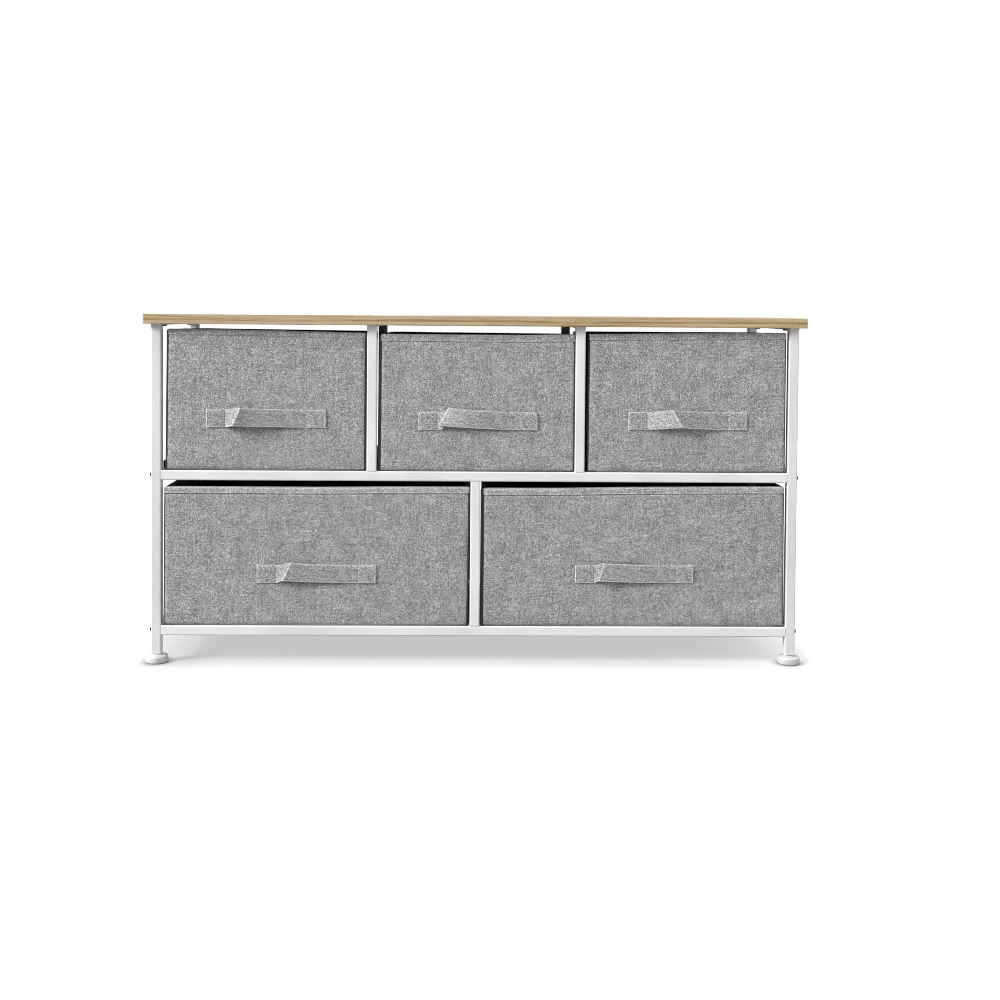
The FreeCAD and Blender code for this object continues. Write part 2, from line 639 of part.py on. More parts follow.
# --- Assembly ----------------------------------------------------------------
def frame_pieces():
    """Everything that stands still."""
    pieces = {
        "top_board": top_board(),
        "board_screws": board_screws(),
        "rail_bolts": rail_bolts(),
        "runner_screws": runner_screws(),
        "divider_spigots": divider_spigots(),
        "foot_inserts": foot_inserts(),
    }
    for end_name, end in ENDS.items():
        pieces[f"{end_name}_bottom_rail"] = long_rail(end, BOTTOM_RAIL_BASE, "lower")
        pieces[f"{end_name}_middle_rail"] = long_rail(end, MID_RAIL_BASE, "upper")
    for side_name, side in SIDES.items():
        for end_name, end in ENDS.items():
            pieces[f"{end_name}_{side_name}_leg"] = leg(side, end)
        pieces[f"{side_name}_bottom_side_rail"] = side_rail(side, BOTTOM_RAIL_BASE)
        pieces[f"{side_name}_middle_side_rail"] = side_rail(side, MID_RAIL_BASE)
        pieces[f"{side_name}_top_strap"] = top_strap(side * LEG_X)
        for row in ROWS:
            pieces[f"{row}_{side_name}_runner"] = side_runner(row, side)
    for row in ROWS:
        for index in dividers(row):
            for end_name, end in ENDS.items():
                pieces[f"{end_name}_{row}_post_{index + 1}"] = divider_post(row, index, end)
            pieces[f"{row}_centre_runner_{index + 1}"] = centre_runner(row, index)
            if row == "upper":
                pieces[f"divider_top_strap_{index + 1}"] = top_strap(divider_centre(row, index))
    return pieces


def moving_pieces():
    """The drawers and the feet."""
    pieces = {}
    for row in ROWS:
        for index in bays(row):
            name = f"{row}_drawer_{index + 1}"
            pieces[f"{name}_bin"] = drawer_bin(row, index)
            pieces[f"{name}_front"] = drawer_front(row, index)
            pieces[f"{name}_base_board"] = drawer_base_board(row, index)
            pieces[f"{name}_handle"] = drawer_handle(row, index)
    for side_name, side in SIDES.items():
        for end_name, end in ENDS.items():
            pieces[f"{end_name}_{side_name}_foot"] = levelling_foot(side, end)
    return pieces


def main():
    """Build every piece and write it as a STEP file of its own."""
    os.makedirs("parts", exist_ok=True)
    pieces = {**frame_pieces(), **moving_pieces()}
    for name, shape in pieces.items():
        state = "ok" if shape.isValid() else "INVALID"
        print(f"{name:32s} {len(shape.Solids):3d} solids {shape.Volume / 1000:9.2f} cm3 {state}")
        shape.exportStep(f"parts/{name}.step")
    print(len(pieces), "nodes")


main()
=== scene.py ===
"""Finishes and lights a five-drawer fabric dresser on its steel tube frame.

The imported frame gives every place. The steel tubes, runners, board and screws
keep their own meshes and get finishes here. The sewn bins, cloth fronts, strap
pulls, base boards and glides are modelled here and stand for their solids.
"""

import logging
import math
from dataclasses import dataclass, field
from enum import Enum
from typing import Iterable, Sequence

import bmesh
import bpy
from mathutils import Matrix, Vector, noise


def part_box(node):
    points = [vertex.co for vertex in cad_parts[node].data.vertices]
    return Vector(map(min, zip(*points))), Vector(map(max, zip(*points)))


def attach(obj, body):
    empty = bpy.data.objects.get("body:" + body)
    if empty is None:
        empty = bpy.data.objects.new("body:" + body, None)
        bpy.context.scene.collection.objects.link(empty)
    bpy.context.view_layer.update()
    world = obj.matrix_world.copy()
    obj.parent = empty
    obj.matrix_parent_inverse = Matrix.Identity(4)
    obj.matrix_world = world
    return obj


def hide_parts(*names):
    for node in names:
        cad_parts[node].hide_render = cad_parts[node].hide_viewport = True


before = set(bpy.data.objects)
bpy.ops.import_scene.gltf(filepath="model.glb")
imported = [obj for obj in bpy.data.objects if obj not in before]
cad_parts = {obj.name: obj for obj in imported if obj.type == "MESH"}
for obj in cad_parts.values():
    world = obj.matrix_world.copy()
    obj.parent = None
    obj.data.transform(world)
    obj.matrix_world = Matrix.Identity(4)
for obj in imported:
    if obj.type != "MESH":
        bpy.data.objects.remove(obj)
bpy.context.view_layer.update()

LOG = logging.getLogger("dresser")
MM = 0.001

Point = tuple[float, float, float]
Pair = tuple[float, float]
Colour = tuple[float, float, float, float]
Tree = bpy.types.NodeTree
Socket = bpy.types.NodeSocket
Material = bpy.types.Material


# ---------------------------------------------------------------------------
# Nodes and colours
# ---------------------------------------------------------------------------
def linear(hex_colour: str) -> Colour:
    """Turns an sRGB hex colour into linear light.

    Args:
        hex_colour: Six hex digits, such as "9C9B99".

    Returns:
        Red, green, blue and an alpha of 1, all linear.
    """
    channels = []
    for start in (0, 2, 4):
        value = int(hex_colour[start:start + 2], 16) / 255
        channels.append(value / 12.92 if value <= 0.04045 else ((value + 0.055) / 1.055) ** 2.4)
    return (*channels, 1.0)


def repeats(size_mm: float) -> float:
    """How many times a pattern of this size in millimetres repeats in a metre."""
    return 1000.0 / size_mm


def empty_tree(block: Material | bpy.types.World) -> Tree:
    """Gives a material or a world an empty node tree.

    Args:
        block: The material or the world.

    Returns:
        Its node tree.
    """
    block.use_nodes = True
    block.node_tree.nodes.clear()
    return block.node_tree


def add_node(tree: Tree, kind: str, inputs: dict | None = None,
             stops: Sequence[tuple[float, Colour]] = (), **settings) -> bpy.types.Node:
    """Adds a node, with its settings, input values and links.

    Args:
        tree: The node tree of a material or of the world.
        kind: The node's type without its "ShaderNode" prefix.
        inputs: A value, or the socket it is linked to, for each input by name or number.
        stops: The places and colours of a colour ramp.
        **settings: Properties of the node itself.

    Returns:
        The new node.
    """
    node = tree.nodes.new("ShaderNode" + kind)
    for name, value in settings.items():
        setattr(node, name, value)
    for key, value in (inputs or {}).items():
        if isinstance(value, Socket):
            tree.links.new(value, node.inputs[key])
        else:
            node.inputs[key].default_value = value
    for number, (place, colour) in enumerate(stops):
        elements = node.color_ramp.elements
        element = elements[number] if number < 2 else elements.new(place)
        element.position = place
        element.color = colour
    return node


# ---------------------------------------------------------------------------
# Finishes
# ---------------------------------------------------------------------------
@dataclass(frozen=True)
class Finish:
    """A finish with the real one's name, gloss and way of being made."""

    name: str = "finish"
    roughness: float = 0.5
    ior: float = 1.5

    def inputs(self, tree: Tree) -> dict:
        """The shader's inputs, which each finish makes from its own pattern."""
        raise NotImplementedError

    def skin(self, tree: Tree, tone: Socket, shades: Iterable[tuple[float, str]],
             wear: Socket | None = None, change: Pair = (0.0, 0.0),
             relief: Socket | None = None, strength: float = 0.0,
             height_mm: float = 0.0) -> dict:
        """The colour, gloss and relief that every finish has.

        Args:
            tree: The material's node tree.
            tone: Where each place lies among the shades, from 0 to 1.
            shades: The places and the sRGB colours of the shades.
            wear: What makes the gloss change, or nothing for an even gloss.
            change: What wear adds to the roughness at 0 and at 1.
            relief: The surface's height, from 0 to 1, or nothing for a smooth one.
            strength: How strongly the relief shows.
            height_mm: The height of the relief.

        Returns:
            The shader's inputs by name.
        """
        ramp = add_node(tree, "ValToRGB", {"Fac": tone},
                        stops=[(place, linear(shade)) for place, shade in shades])
        made = {"Base Color": ramp.outputs["Color"], "Roughness": self.roughness,
                "IOR": self.ior}
        if relief is not None:
            made["Normal"] = add_node(tree, "Bump", {
                "Height": relief, "Strength": strength, "Distance": height_mm * MM}).outputs[0]
        if wear is not None:
            made["Roughness"] = add_node(tree, "MapRange", {
                "Value": wear, "To Min": self.roughness + change[0],
                "To Max": self.roughness + change[1]}).outputs[0]
        return made

    def build(self) -> Material:
        """Makes the material."""
        material = bpy.data.materials.new(self.name)
        tree = empty_tree(material)
        shader = add_node(tree, "BsdfPrincipled", self.inputs(tree))
        add_node(tree, "OutputMaterial", {"Surface": shader.outputs[0]})
        return material


@dataclass(frozen=True)
class OakLaminate(Finish):
    """Melamine-faced board with a printed oak figure, pressed with a fine grain.

    The grain runs along the length of the board and round its edge bands.
    """

    name: str = "oak_laminate"
    roughness: float = 0.38
    pale: str = "C1AA86"
    middle: str = "AF946B"
    dark: str = "8E7249"
    wash: str = "B3A48C"
    warp_mm: float = 160.0
    warp_reach_mm: float = 12.0
    figure_mm: Point = (260.0, 11.0, 3.4)     # along the board, across it, and through it
    pore_mm: Point = (26.0, 1.3, 1.3)         # real pores are 0.2 mm wide, too fine to show
    vein: float = 0.42              # how strongly the edge band's veins, and the painted shade at its foot, show
    edge_tones: tuple[Pair, ...] = (  # their tones up the edge, the two ends first; the low tone at the foot is painted shade under the lower arris, the dip near the middle a printed vein
        (0.0, 0.1), (1.0, 0.56), (0.08, 0.38), (0.2, 0.6), (0.36, 0.52), (0.44, 0.14),
        (0.52, 0.12), (0.6, 0.5), (0.78, 0.58))

    def inputs(self, tree: Tree) -> dict:
        """Streaks stretched along X in all three directions, veins along the edge, and painted
        shade at the edge's foot.
        """
        place = add_node(tree, "TexCoord").outputs["Object"]
        warp = add_node(tree, "TexNoise", {"Vector": place, "Scale": repeats(self.warp_mm),
                                           "Detail": 1.0})
        moved = add_node(tree, "VectorMath", {0: warp.outputs["Color"],
                                              "Scale": self.warp_reach_mm * MM},
                         operation="SCALE")
        bent = add_node(tree, "VectorMath", {0: place, 1: moved.outputs[0]}, operation="ADD")
        streaks = []
        for size_mm, grain in ((self.figure_mm, {"Detail": 4.0, "Roughness": 0.62,
                                                 "Distortion": 0.35}),
                               (self.pore_mm, {"Detail": 2.0})):
            stretch = add_node(tree, "Mapping", {"Vector": bent.outputs[0],
                                                 "Scale": [repeats(size) for size in size_mm]})
            streaks.append(add_node(tree, "TexNoise", {
                "Vector": stretch.outputs[0], "Scale": 1.0, **grain}).outputs["Fac"])
        figure, pores = streaks
        fine = add_node(tree, "Math", {0: pores, 1: 0.34, 2: -0.17}, operation="MULTIPLY_ADD")
        tone = add_node(tree, "Math", {0: figure, 1: fine.outputs[0]}, operation="ADD")
        low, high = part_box("top_board")
        share = add_node(tree, "MapRange", {
            "Value": add_node(tree, "SeparateXYZ", {"Vector": place}).outputs["Z"],
            "From Min": low.z, "From Max": high.z})
        # Tones up the board's edge: printed veins, and painted shade along the foot under the lower
        # arris.
        edge_tone = add_node(tree, "ValToRGB", {"Fac": share.outputs[0]}, stops=[
            (at, (tone_there, tone_there, tone_there, 1.0)) for at, tone_there in self.edge_tones])
        tone = add_node(tree, "Math", {0: edge_tone.outputs["Color"], 1: self.vein,
                                       2: tone.outputs[0]}, operation="MULTIPLY_ADD")
        tone = add_node(tree, "Math", {0: tone.outputs[0], 1: -0.5 * self.vein},
                        operation="ADD")
        shades = ((0.30, self.dark), (0.66, self.pale), (0.46, self.middle), (0.56, self.wash))
        return self.skin(tree, tone.outputs[0], shades, wear=pores, change=(-0.08, 0.1),
                         relief=pores, strength=0.25, height_mm=0.15)


@dataclass(frozen=True)
class PowderCoat(Finish):
    """Satin powder coat baked on steel tube: an even skin with a faint orange peel."""

    name: str = "white_powder_coat"
    roughness: float = 0.4
    colour: str = "E7E7E7"
    worn: str = "DBDBDB"
    drift_mm: float = 90.0
    peel_mm: float = 2.4            # the real peel is 0.6 mm, too fine to show

    def inputs(self, tree: Tree) -> dict:
        """A little change of tone over each tube, and the peel."""
        place = add_node(tree, "TexCoord").outputs["Object"]
        drift = add_node(tree, "TexNoise", {"Vector": place, "Scale": repeats(self.drift_mm),
                                            "Detail": 3.0}).outputs["Fac"]
        peel = add_node(tree, "TexNoise", {"Vector": place, "Scale": repeats(self.peel_mm),
                                           "Detail": 2.0, "Roughness": 0.4})
        return self.skin(tree, drift, ((0.3, self.worn), (0.62, self.colour)), wear=drift,
                         change=(-0.05, 0.08), relief=peel.outputs["Fac"], strength=0.35,
                         height_mm=0.05)


@dataclass(frozen=True)
class RunnerPaint(Finish):
    """Black stove enamel on bent sheet, rubbed along the way the bins slide."""

    name: str = "black_runner_enamel"
    roughness: float = 0.45
    colour: str = "1A1A1B"
    rubbed: str = "38383A"
    rub_mm: Point = (2.0, 70.0, 2.0)

    def inputs(self, tree: Tree) -> dict:
        """Rub marks drawn out along Y."""
        drawn = add_node(tree, "Mapping", {
            "Vector": add_node(tree, "TexCoord").outputs["Object"],
            "Scale": [repeats(size) for size in self.rub_mm]})
        rubs = add_node(tree, "TexNoise", {"Vector": drawn.outputs[0], "Scale": 1.0,
                                           "Detail": 3.0}).outputs["Fac"]
        return self.skin(tree, rubs, ((0.5, self.colour), (0.78, self.rubbed)), wear=rubs,
                         change=(0.1, -0.1), relief=rubs, strength=0.2, height_mm=0.04)


@dataclass(frozen=True)
class BlackOxide(Finish):
    """Oil-blackened screw steel: a metal that is nearly black and half dull."""

    name: str = "black_oxide_steel"
    roughness: float = 0.42
    colour: str = "3A3A3C"
    bare: str = "6A6865"
    grain_mm: float = 1.1

    def inputs(self, tree: Tree) -> dict:
        """Specks where the blacking is thin."""
        place = add_node(tree, "TexCoord").outputs["Object"]
        specks = add_node(tree, "TexNoise", {"Vector": place, "Scale": repeats(self.grain_mm),
                                             "Detail": 3.0}).outputs["Fac"]
        return {**self.skin(tree, specks, ((0.55, self.colour), (0.8, self.bare)), wear=specks,
                            change=(0.12, -0.08)), "Metallic": 1.0}


@dataclass(frozen=True)
class MouldedPlastic(Finish):
    """Injection-moulded polythene: soft gloss over a fine spark-eroded grain."""

    name: str = "moulded_glide_plastic"
    roughness: float = 0.46
    ior: float = 1.51
    colour: str = "D6D6D5"
    shade: str = "CACAC9"
    flow_mm: float = 14.0
    grain_mm: float = 1.6           # the real grain is 0.1 mm, too fine to show
    milkiness: float = 0.5          # how much light passes into the plastic
    depth_mm: float = 6.0

    def inputs(self, tree: Tree) -> dict:
        """Flow shading and the mould's grain."""
        place = add_node(tree, "TexCoord").outputs["Object"]
        flow = add_node(tree, "TexNoise", {"Vector": place, "Scale": repeats(self.flow_mm),
                                           "Detail": 2.0})
        grain = add_node(tree, "TexNoise", {"Vector": place, "Scale": repeats(self.grain_mm),
                                            "Detail": 1.0}).outputs["Fac"]
        return {**self.skin(tree, flow.outputs["Fac"], ((0.35, self.shade), (0.6, self.colour)),
                            wear=grain, change=(-0.06, 0.08), relief=grain, strength=0.3,
                            height_mm=0.05),
                "Subsurface Weight": self.milkiness, "Subsurface Radius": (1.0, 0.95, 0.9),
                "Subsurface Scale": self.depth_mm * MM}


@dataclass(frozen=True)
class LinenWeave(Finish):
    """Heathered polyester cloth, woven plain from slubbed yarns.

    Every yarn has pale and dark stretches of its own, and passes over and under the
    yarns across it, so the eye sees a fine speckle crossed by long thin dashes. Cloth
    coordinates are metres along the weft and the warp. The mesh attribute "wear" tells
    where a fold or an edge is painted paler, as painted highlight.
    """

    name: str = "grey_linen_weave"
    roughness: float = 0.86
    ior: float = 1.46
    dark: str = "505051"
    middle: str = "919192"
    pale: str = "D8D8D8"
    thread_mm: float = 1.2          # real threads are 0.5 mm apart, too fine to show
    slub_mm: float = 44.0
    cloud_mm: float = 26.0
    yarn_contrast: float = 1.2
    cloud_contrast: float = 0.25
    fleck: float = 0.64
    # How strongly the painted highlight held in the wear attribute shows.
    wear: float = 0.4
    relief_mm: float = 0.25
    sheen: float = 0.2

    def yarn(self, tree: Tree, cloth: Socket, crossing: Socket, weft: float) -> Socket:
        """The tone along one set of yarns.

        Args:
            tree: The material's node tree.
            cloth: The cloth coordinates.
            crossing: The number of the crossing that each place lies in.
            weft: 1 for the weft, or 0 for the warp.

        Returns:
            The tone, from 0 to 1.
        """
        warp, slubs, apart = 1.0 - weft, repeats(self.slub_mm), 7.31
        run = add_node(tree, "VectorMath", {0: cloth, 1: (weft * slubs, warp * slubs, 0.0)},
                       operation="MULTIPLY")
        place = add_node(tree, "VectorMath", {
            0: crossing, 1: (warp * apart, weft * apart, 0.0), 2: run.outputs[0]},
            operation="MULTIPLY_ADD")
        return add_node(tree, "TexNoise", {
            "Vector": place.outputs[0], "Scale": 1.0, "Detail": 4.0, "Roughness": 0.85},
            noise_dimensions="2D").outputs["Fac"]

    def inputs(self, tree: Tree) -> dict:
        """Two sets of yarns, their crossings and the painted highlight on edges and folds."""
        cloth = add_node(tree, "UVMap", uv_map="cloth").outputs[0]
        grid = add_node(tree, "VectorMath", {0: cloth, "Scale": repeats(self.thread_mm)},
                        operation="SCALE").outputs[0]
        crossing = add_node(tree, "VectorMath", {0: grid}, operation="FLOOR").outputs[0]
        over = add_node(tree, "TexChecker", {"Vector": grid, "Scale": 1.0})
        seen = add_node(tree, "Mix", {0: over.outputs["Fac"],
                                      2: self.yarn(tree, cloth, crossing, 1.0),
                                      3: self.yarn(tree, cloth, crossing, 0.0)})
        cloud = add_node(tree, "TexNoise", {"Vector": cloth, "Scale": repeats(self.cloud_mm),
                                            "Detail": 2.0}, noise_dimensions="2D")
        speck = add_node(tree, "TexWhiteNoise", {"Vector": crossing}, noise_dimensions="2D")
        # The painted highlight that the drawer's pieces write into the wear attribute.
        rubbed = add_node(tree, "Attribute", attribute_name="wear")
        tone = 0.5 - (self.yarn_contrast + self.cloud_contrast + self.fleck) / 2
        for part, weight in ((seen.outputs[0], self.yarn_contrast),
                             (cloud.outputs["Fac"], self.cloud_contrast),
                             (speck.outputs["Value"], self.fleck),
                             (rubbed.outputs["Fac"], self.wear)):
            tone = add_node(tree, "Math", {0: part, 1: weight, 2: tone},
                            operation="MULTIPLY_ADD").outputs[0]
        waves = [add_node(tree, "TexWave", {
            "Vector": cloth, "Scale": repeats(self.thread_mm) * math.pi / 10,
            "Distortion": 0.6, "Detail": 1.0}, bands_direction=direction).outputs["Fac"]
            for direction in ("X", "Y")]
        weave = add_node(tree, "Math", {0: waves[0], 1: waves[1]}, operation="MULTIPLY")
        relief = add_node(tree, "Math", {0: weave.outputs[0], 1: tone}, operation="ADD")
        shades = ((0.0, self.dark), (1.0, self.pale), (0.5, self.middle))
        return {**self.skin(tree, tone, shades, relief=relief.outputs[0], strength=0.5,
                            height_mm=self.relief_mm),
                "Sheen Weight": self.sheen, "Sheen Roughness": 0.5}


@dataclass(frozen=True)
class NonWoven(Finish):
    """Black spun-bonded polypropylene, dimpled where its fibres are welded."""

    name: str = "black_non_woven"
    roughness: float = 0.8
    ior: float = 1.49
    dark: str = "151516"
    pale: str = "2B2B2D"
    bond_mm: float = 3.2            # real bonds are 1.2 mm apart, too fine to show
    fibre_mm: float = 1.4

    def inputs(self, tree: Tree) -> dict:
        """A grid of bonds under a felt of fibres."""
        cloth = add_node(tree, "UVMap", uv_map="cloth").outputs[0]
        bonds = repeats(self.bond_mm)
        slanted = add_node(tree, "Mapping", {"Vector": cloth, "Rotation": (0, 0, math.pi / 4),
                                             "Scale": (bonds, bonds, 1.0)})
        bond = add_node(tree, "TexVoronoi", {"Vector": slanted.outputs[0], "Scale": 1.0,
                                             "Randomness": 0.12}, voronoi_dimensions="2D")
        fibres = add_node(tree, "TexNoise", {"Vector": cloth, "Scale": repeats(self.fibre_mm),
                                             "Detail": 3.0, "Distortion": 1.5},
                          noise_dimensions="2D")
        raised = add_node(tree, "MapRange", {"Value": bond.outputs["Distance"], "From Min": 0.1,
                                             "From Max": 0.45})
        felt = add_node(tree, "Math", {0: fibres.outputs["Fac"], 1: raised.outputs[0]},
                        operation="MULTIPLY").outputs[0]
        return {**self.skin(tree, felt, ((0.15, self.dark), (0.6, self.pale)), relief=felt,
                            strength=0.5, height_mm=0.2), "Sheen Weight": 0.1}


@dataclass(frozen=True)
class SewingThread(Finish):
    """Twisted polyester thread, a little glossier than the cloth it lies on."""

    name: str = "grey_thread"
    roughness: float = 0.6
    colour: str = "DCDCDB"
    ply: str = "B4B4B3"
    twist_mm: float = 1.2

    def inputs(self, tree: Tree) -> dict:
        """The plies, as slanting bands."""
        place = add_node(tree, "TexCoord").outputs["Object"]
        twist = add_node(tree, "TexWave", {"Vector": place, "Scale": repeats(self.twist_mm) / 3,
                                           "Distortion": 0.5}, bands_direction="DIAGONAL")
        return {**self.skin(tree, twist.outputs["Fac"], ((0.2, self.ply), (0.8, self.colour))),
                "Sheen Weight": 0.2}


class Finishes:
    """Every material of the dresser, made once and shared."""

    def __init__(self) -> None:
        """Makes the materials."""
        self.oak = OakLaminate().build()
        self.powder = PowderCoat().build()
        # The legs' powder coat is a shade darker than the rails': painted shade, standing in for
        # the extra key light that reaches the legs from the left.
        self.leg_powder = PowderCoat("white_powder_coat_legs", colour="DEDEDE",
                                     worn="D3D3D3").build()
        self.runner = RunnerPaint().build()
        self.steel = BlackOxide().build()
        self.glide = MouldedPlastic().build()
        self.insert = MouldedPlastic("moulded_insert_plastic", colour="1E1E1F",
                                     shade="161617", milkiness=0.0).build()
        self.linen = LinenWeave().build()
        # The strap's cloth shows a stronger painted highlight along its edges, ends and crease.
        self.strap = LinenWeave("grey_strap_weave", slub_mm=24.0, cloud_contrast=0.1,
                                fleck=0.68, wear=0.5).build()
        self.lining = NonWoven().build()
        # A darker copy of the black cloth for the bin's face beside the fronts: painted shade for
        # the deep gaps there.
        self.shade_dark_binding = NonWoven("black_binding", dark="070708", pale="131314").build()
        self.board = NonWoven("covered_fibreboard", bond_mm=4.0).build()
        self.grey_thread = SewingThread().build()
        self.hem_thread = SewingThread("charcoal_thread", colour="4E4D4C",
                                       ply="333231").build()
        self.black_thread = SewingThread("black_thread", colour="2A2A2B",
                                         ply="161617").build()


# ---------------------------------------------------------------------------
# Mesh tools
# ---------------------------------------------------------------------------
def finish_mesh(mesh: bpy.types.Mesh, material: Material, body: str, stands_for: str = "",
                crease_degrees: float = 50.0, cloth: Sequence[Pair] = (),
                wear: Sequence[float] = ()) -> bpy.types.Object:
    """Turns a mesh into a shaded piece that rides on a body.

    Args:
        mesh: The mesh, in the frame's own place and with the piece's name.
        material: Its finish.
        body: The body that it rides on.
        stands_for: The solid that it replaces, or nothing for an added piece.
        crease_degrees: The angle above which an edge is shaded sharp.
        cloth: Cloth coordinates of each point in metres, or nothing for the
            coordinates of whichever plane a face looks along.
        wear: How much painted highlight each point has, from 0 to 1, or nothing for none.

    Returns:
        The new object.
    """
    work = bmesh.new()
    work.from_mesh(mesh)
    bmesh.ops.recalc_face_normals(work, faces=work.faces[:])
    layer = work.loops.layers.uv.new("cloth")
    for face in work.faces:
        face.smooth = True
        axis = max(range(3), key=lambda i: abs(face.normal[i]))
        first, second = ((1, 2), (0, 2), (0, 1))[axis]
        for loop in face.loops:
            flat = (loop.vert.co[first], loop.vert.co[second])
            loop[layer].uv = cloth[loop.vert.index] if cloth else flat
    work.to_mesh(mesh)
    work.free()
    mesh.set_sharp_from_angle(angle=math.radians(crease_degrees))
    if wear:
        mesh.attributes.new("wear", "FLOAT", "POINT").data.foreach_set("value", wear)
    mesh.materials.append(material)
    piece = bpy.data.objects.new(mesh.name, mesh)
    bpy.context.scene.collection.objects.link(piece)
    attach(piece, body)
    if stands_for:
        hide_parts(stands_for)
    LOG.info("%s: %d points, in %s", piece.name, len(mesh.vertices), material.name)
    return piece


@dataclass
class Surface:
    """Points and faces collected for one piece, with its cloth coordinates and painted highlight.
    """

    points: list[Point] = field(default_factory=list)
    faces: list[tuple[int, ...]] = field(default_factory=list)
    cloth: list[Pair] = field(default_factory=list)
    wear: list[float] = field(default_factory=list)

    def loft(self, rings: Sequence[Sequence[Point]], caps: bool = True) -> None:
        """Joins rings of points into a skin.

        Args:
            rings: Closed rings of equal length, in order along the piece.
            caps: Whether the first and the last ring are filled.
        """
        count, base = len(rings[0]), len(self.points)
        for ring in rings:
            self.points.extend(tuple(point) for point in ring)
        for row in range(len(rings) - 1):
            for column in range(count):
                a = base + row * count + column
                b = base + row * count + (column + 1) % count
                self.faces.append((a, b, b + count, a + count))
        if caps:
            last = base + (len(rings) - 1) * count
            self.faces.append(tuple(base + i for i in reversed(range(count))))
            self.faces.append(tuple(last + i for i in range(count)))

    def build(self, name: str, material: Material, body: str, stands_for: str = "",
              crease_degrees: float = 50.0) -> bpy.types.Object:
        """Makes the object from what was collected.

        Args:
            name: The piece's name.
            material: Its finish.
            body: The body that it rides on.
            stands_for: The solid that it replaces, or nothing for an added piece.
            crease_degrees: The angle above which an edge is shaded sharp.

        Returns:
            The new object.
        """
        mesh = bpy.data.meshes.new(name)
        mesh.from_pydata(self.points, [], self.faces)
        return finish_mesh(mesh, material, body, stands_for, crease_degrees, self.cloth,
                           self.wear)


def arc(centre: Pair, radius: float, start: float, end: float, steps: int) -> list[Pair]:
    """Points along an arc, for an outline.

    Args:
        centre: The arc's centre.
        radius: Its radius.
        start: The first angle in degrees.
        end: The last angle in degrees.
        steps: How many chords it has.

    Returns:
        The points, both ends included.
    """
    angles = [math.radians(start + (end - start) * i / steps) for i in range(steps + 1)]
    return [(centre[0] + radius * math.cos(a), centre[1] + radius * math.sin(a)) for a in angles]


def turned(outline: Sequence[Pair], centre: Vector, segments: int = 48) -> list[list[Point]]:
    """Rings of a turned shape about an upright axis.

    Args:
        outline: Radius and height of each ring, from the bottom up.
        centre: The foot of the axis.
        segments: Points in each ring.

    Returns:
        One ring for each point of the outline.
    """
    angles = [math.tau * number / segments for number in range(segments)]
    return [[(centre.x + radius * math.cos(a), centre.y + radius * math.sin(a),
              centre.z + height) for a in angles] for radius, height in outline]


def rounded_loop(half_x: float, half_y: float, radius: float, step: float,
                 corner_steps: int = 5) -> list[tuple[float, float, float, float, float]]:
    """Points round a rectangle with round corners, centred on the origin.

    Args:
        half_x: Half its width.
        half_y: Half its depth.
        radius: The corner radius.
        step: The most that two points on a side stand apart.
        corner_steps: Chords in each corner.

    Returns:
        For each point its x and y, its outward normal, and its distance along the loop.
    """
    corners = []
    for quarter, (sx, sy) in enumerate(((1, 1), (-1, 1), (-1, -1), (1, -1))):
        centre = (sx * (half_x - radius), sy * (half_y - radius))
        start = 90.0 * quarter
        normals = arc((0.0, 0.0), 1.0, start, start + 90, corner_steps)
        corners.append([(*place, *normal) for place, normal in zip(
            arc(centre, radius, start, start + 90, corner_steps), normals)])
    loop = []
    for corner, following in zip(corners, corners[1:] + corners[:1]):
        loop += corner
        (x, y, nx, ny), (end_x, end_y, _, _) = corner[-1], following[0]
        count = max(1, math.ceil(math.dist((x, y), (end_x, end_y)) / step))
        loop += [(x + (end_x - x) * i / count, y + (end_y - y) * i / count, nx, ny)
                 for i in range(1, count)]
    points, length = [], 0.0
    for number, (x, y, nx, ny) in enumerate(loop):
        if number:
            length += math.dist(loop[number - 1][:2], (x, y))
        points.append((x, y, nx, ny, length))
    return points


def rounded_slab(low: Vector, high: Vector, axis: int, corner: float, edge: float,
                 step: float, extra: Iterable[tuple[int, float]] = ()) -> bmesh.types.BMesh:
    """A plate with round corners and soft rims, sliced into small faces.

    Args:
        low: Its lowest corner.
        high: Its highest corner.
        axis: The axis through its thickness, 0, 1 or 2.
        corner: The radius of its four corners.
        edge: The radius of its rims.
        step: The size of the slices.
        extra: More slices, as an axis and a place.

    Returns:
        The plate as a bmesh, which the caller frees.
    """
    work = bmesh.new()
    bmesh.ops.create_cube(work, size=1.0)
    for vert in work.verts:
        vert.co = Vector([low[i] if vert.co[i] < 0 else high[i] for i in range(3)])
    for reach, offset, segments in ((high[axis] - low[axis], corner, 5), (0.0, edge, 3)):
        chosen = [e for e in work.edges
                  if abs(abs(e.verts[0].co[axis] - e.verts[1].co[axis]) - reach) < 1e-7]
        bmesh.ops.bevel(work, geom=chosen, offset=offset, segments=segments, profile=0.5,
                        affect="EDGES")
    cuts = list(extra)
    for i in (i for i in range(3) if i != axis):
        count = max(1, round((high[i] - low[i]) / step))
        cuts += [(i, low[i] + (high[i] - low[i]) * n / count) for n in range(1, count)]
    for i, place in cuts:
        normal = Vector([float(i == j) for j in range(3)])
        bmesh.ops.bisect_plane(work, geom=work.verts[:] + work.edges[:] + work.faces[:],
                               plane_co=normal * place, plane_no=normal)
    return work


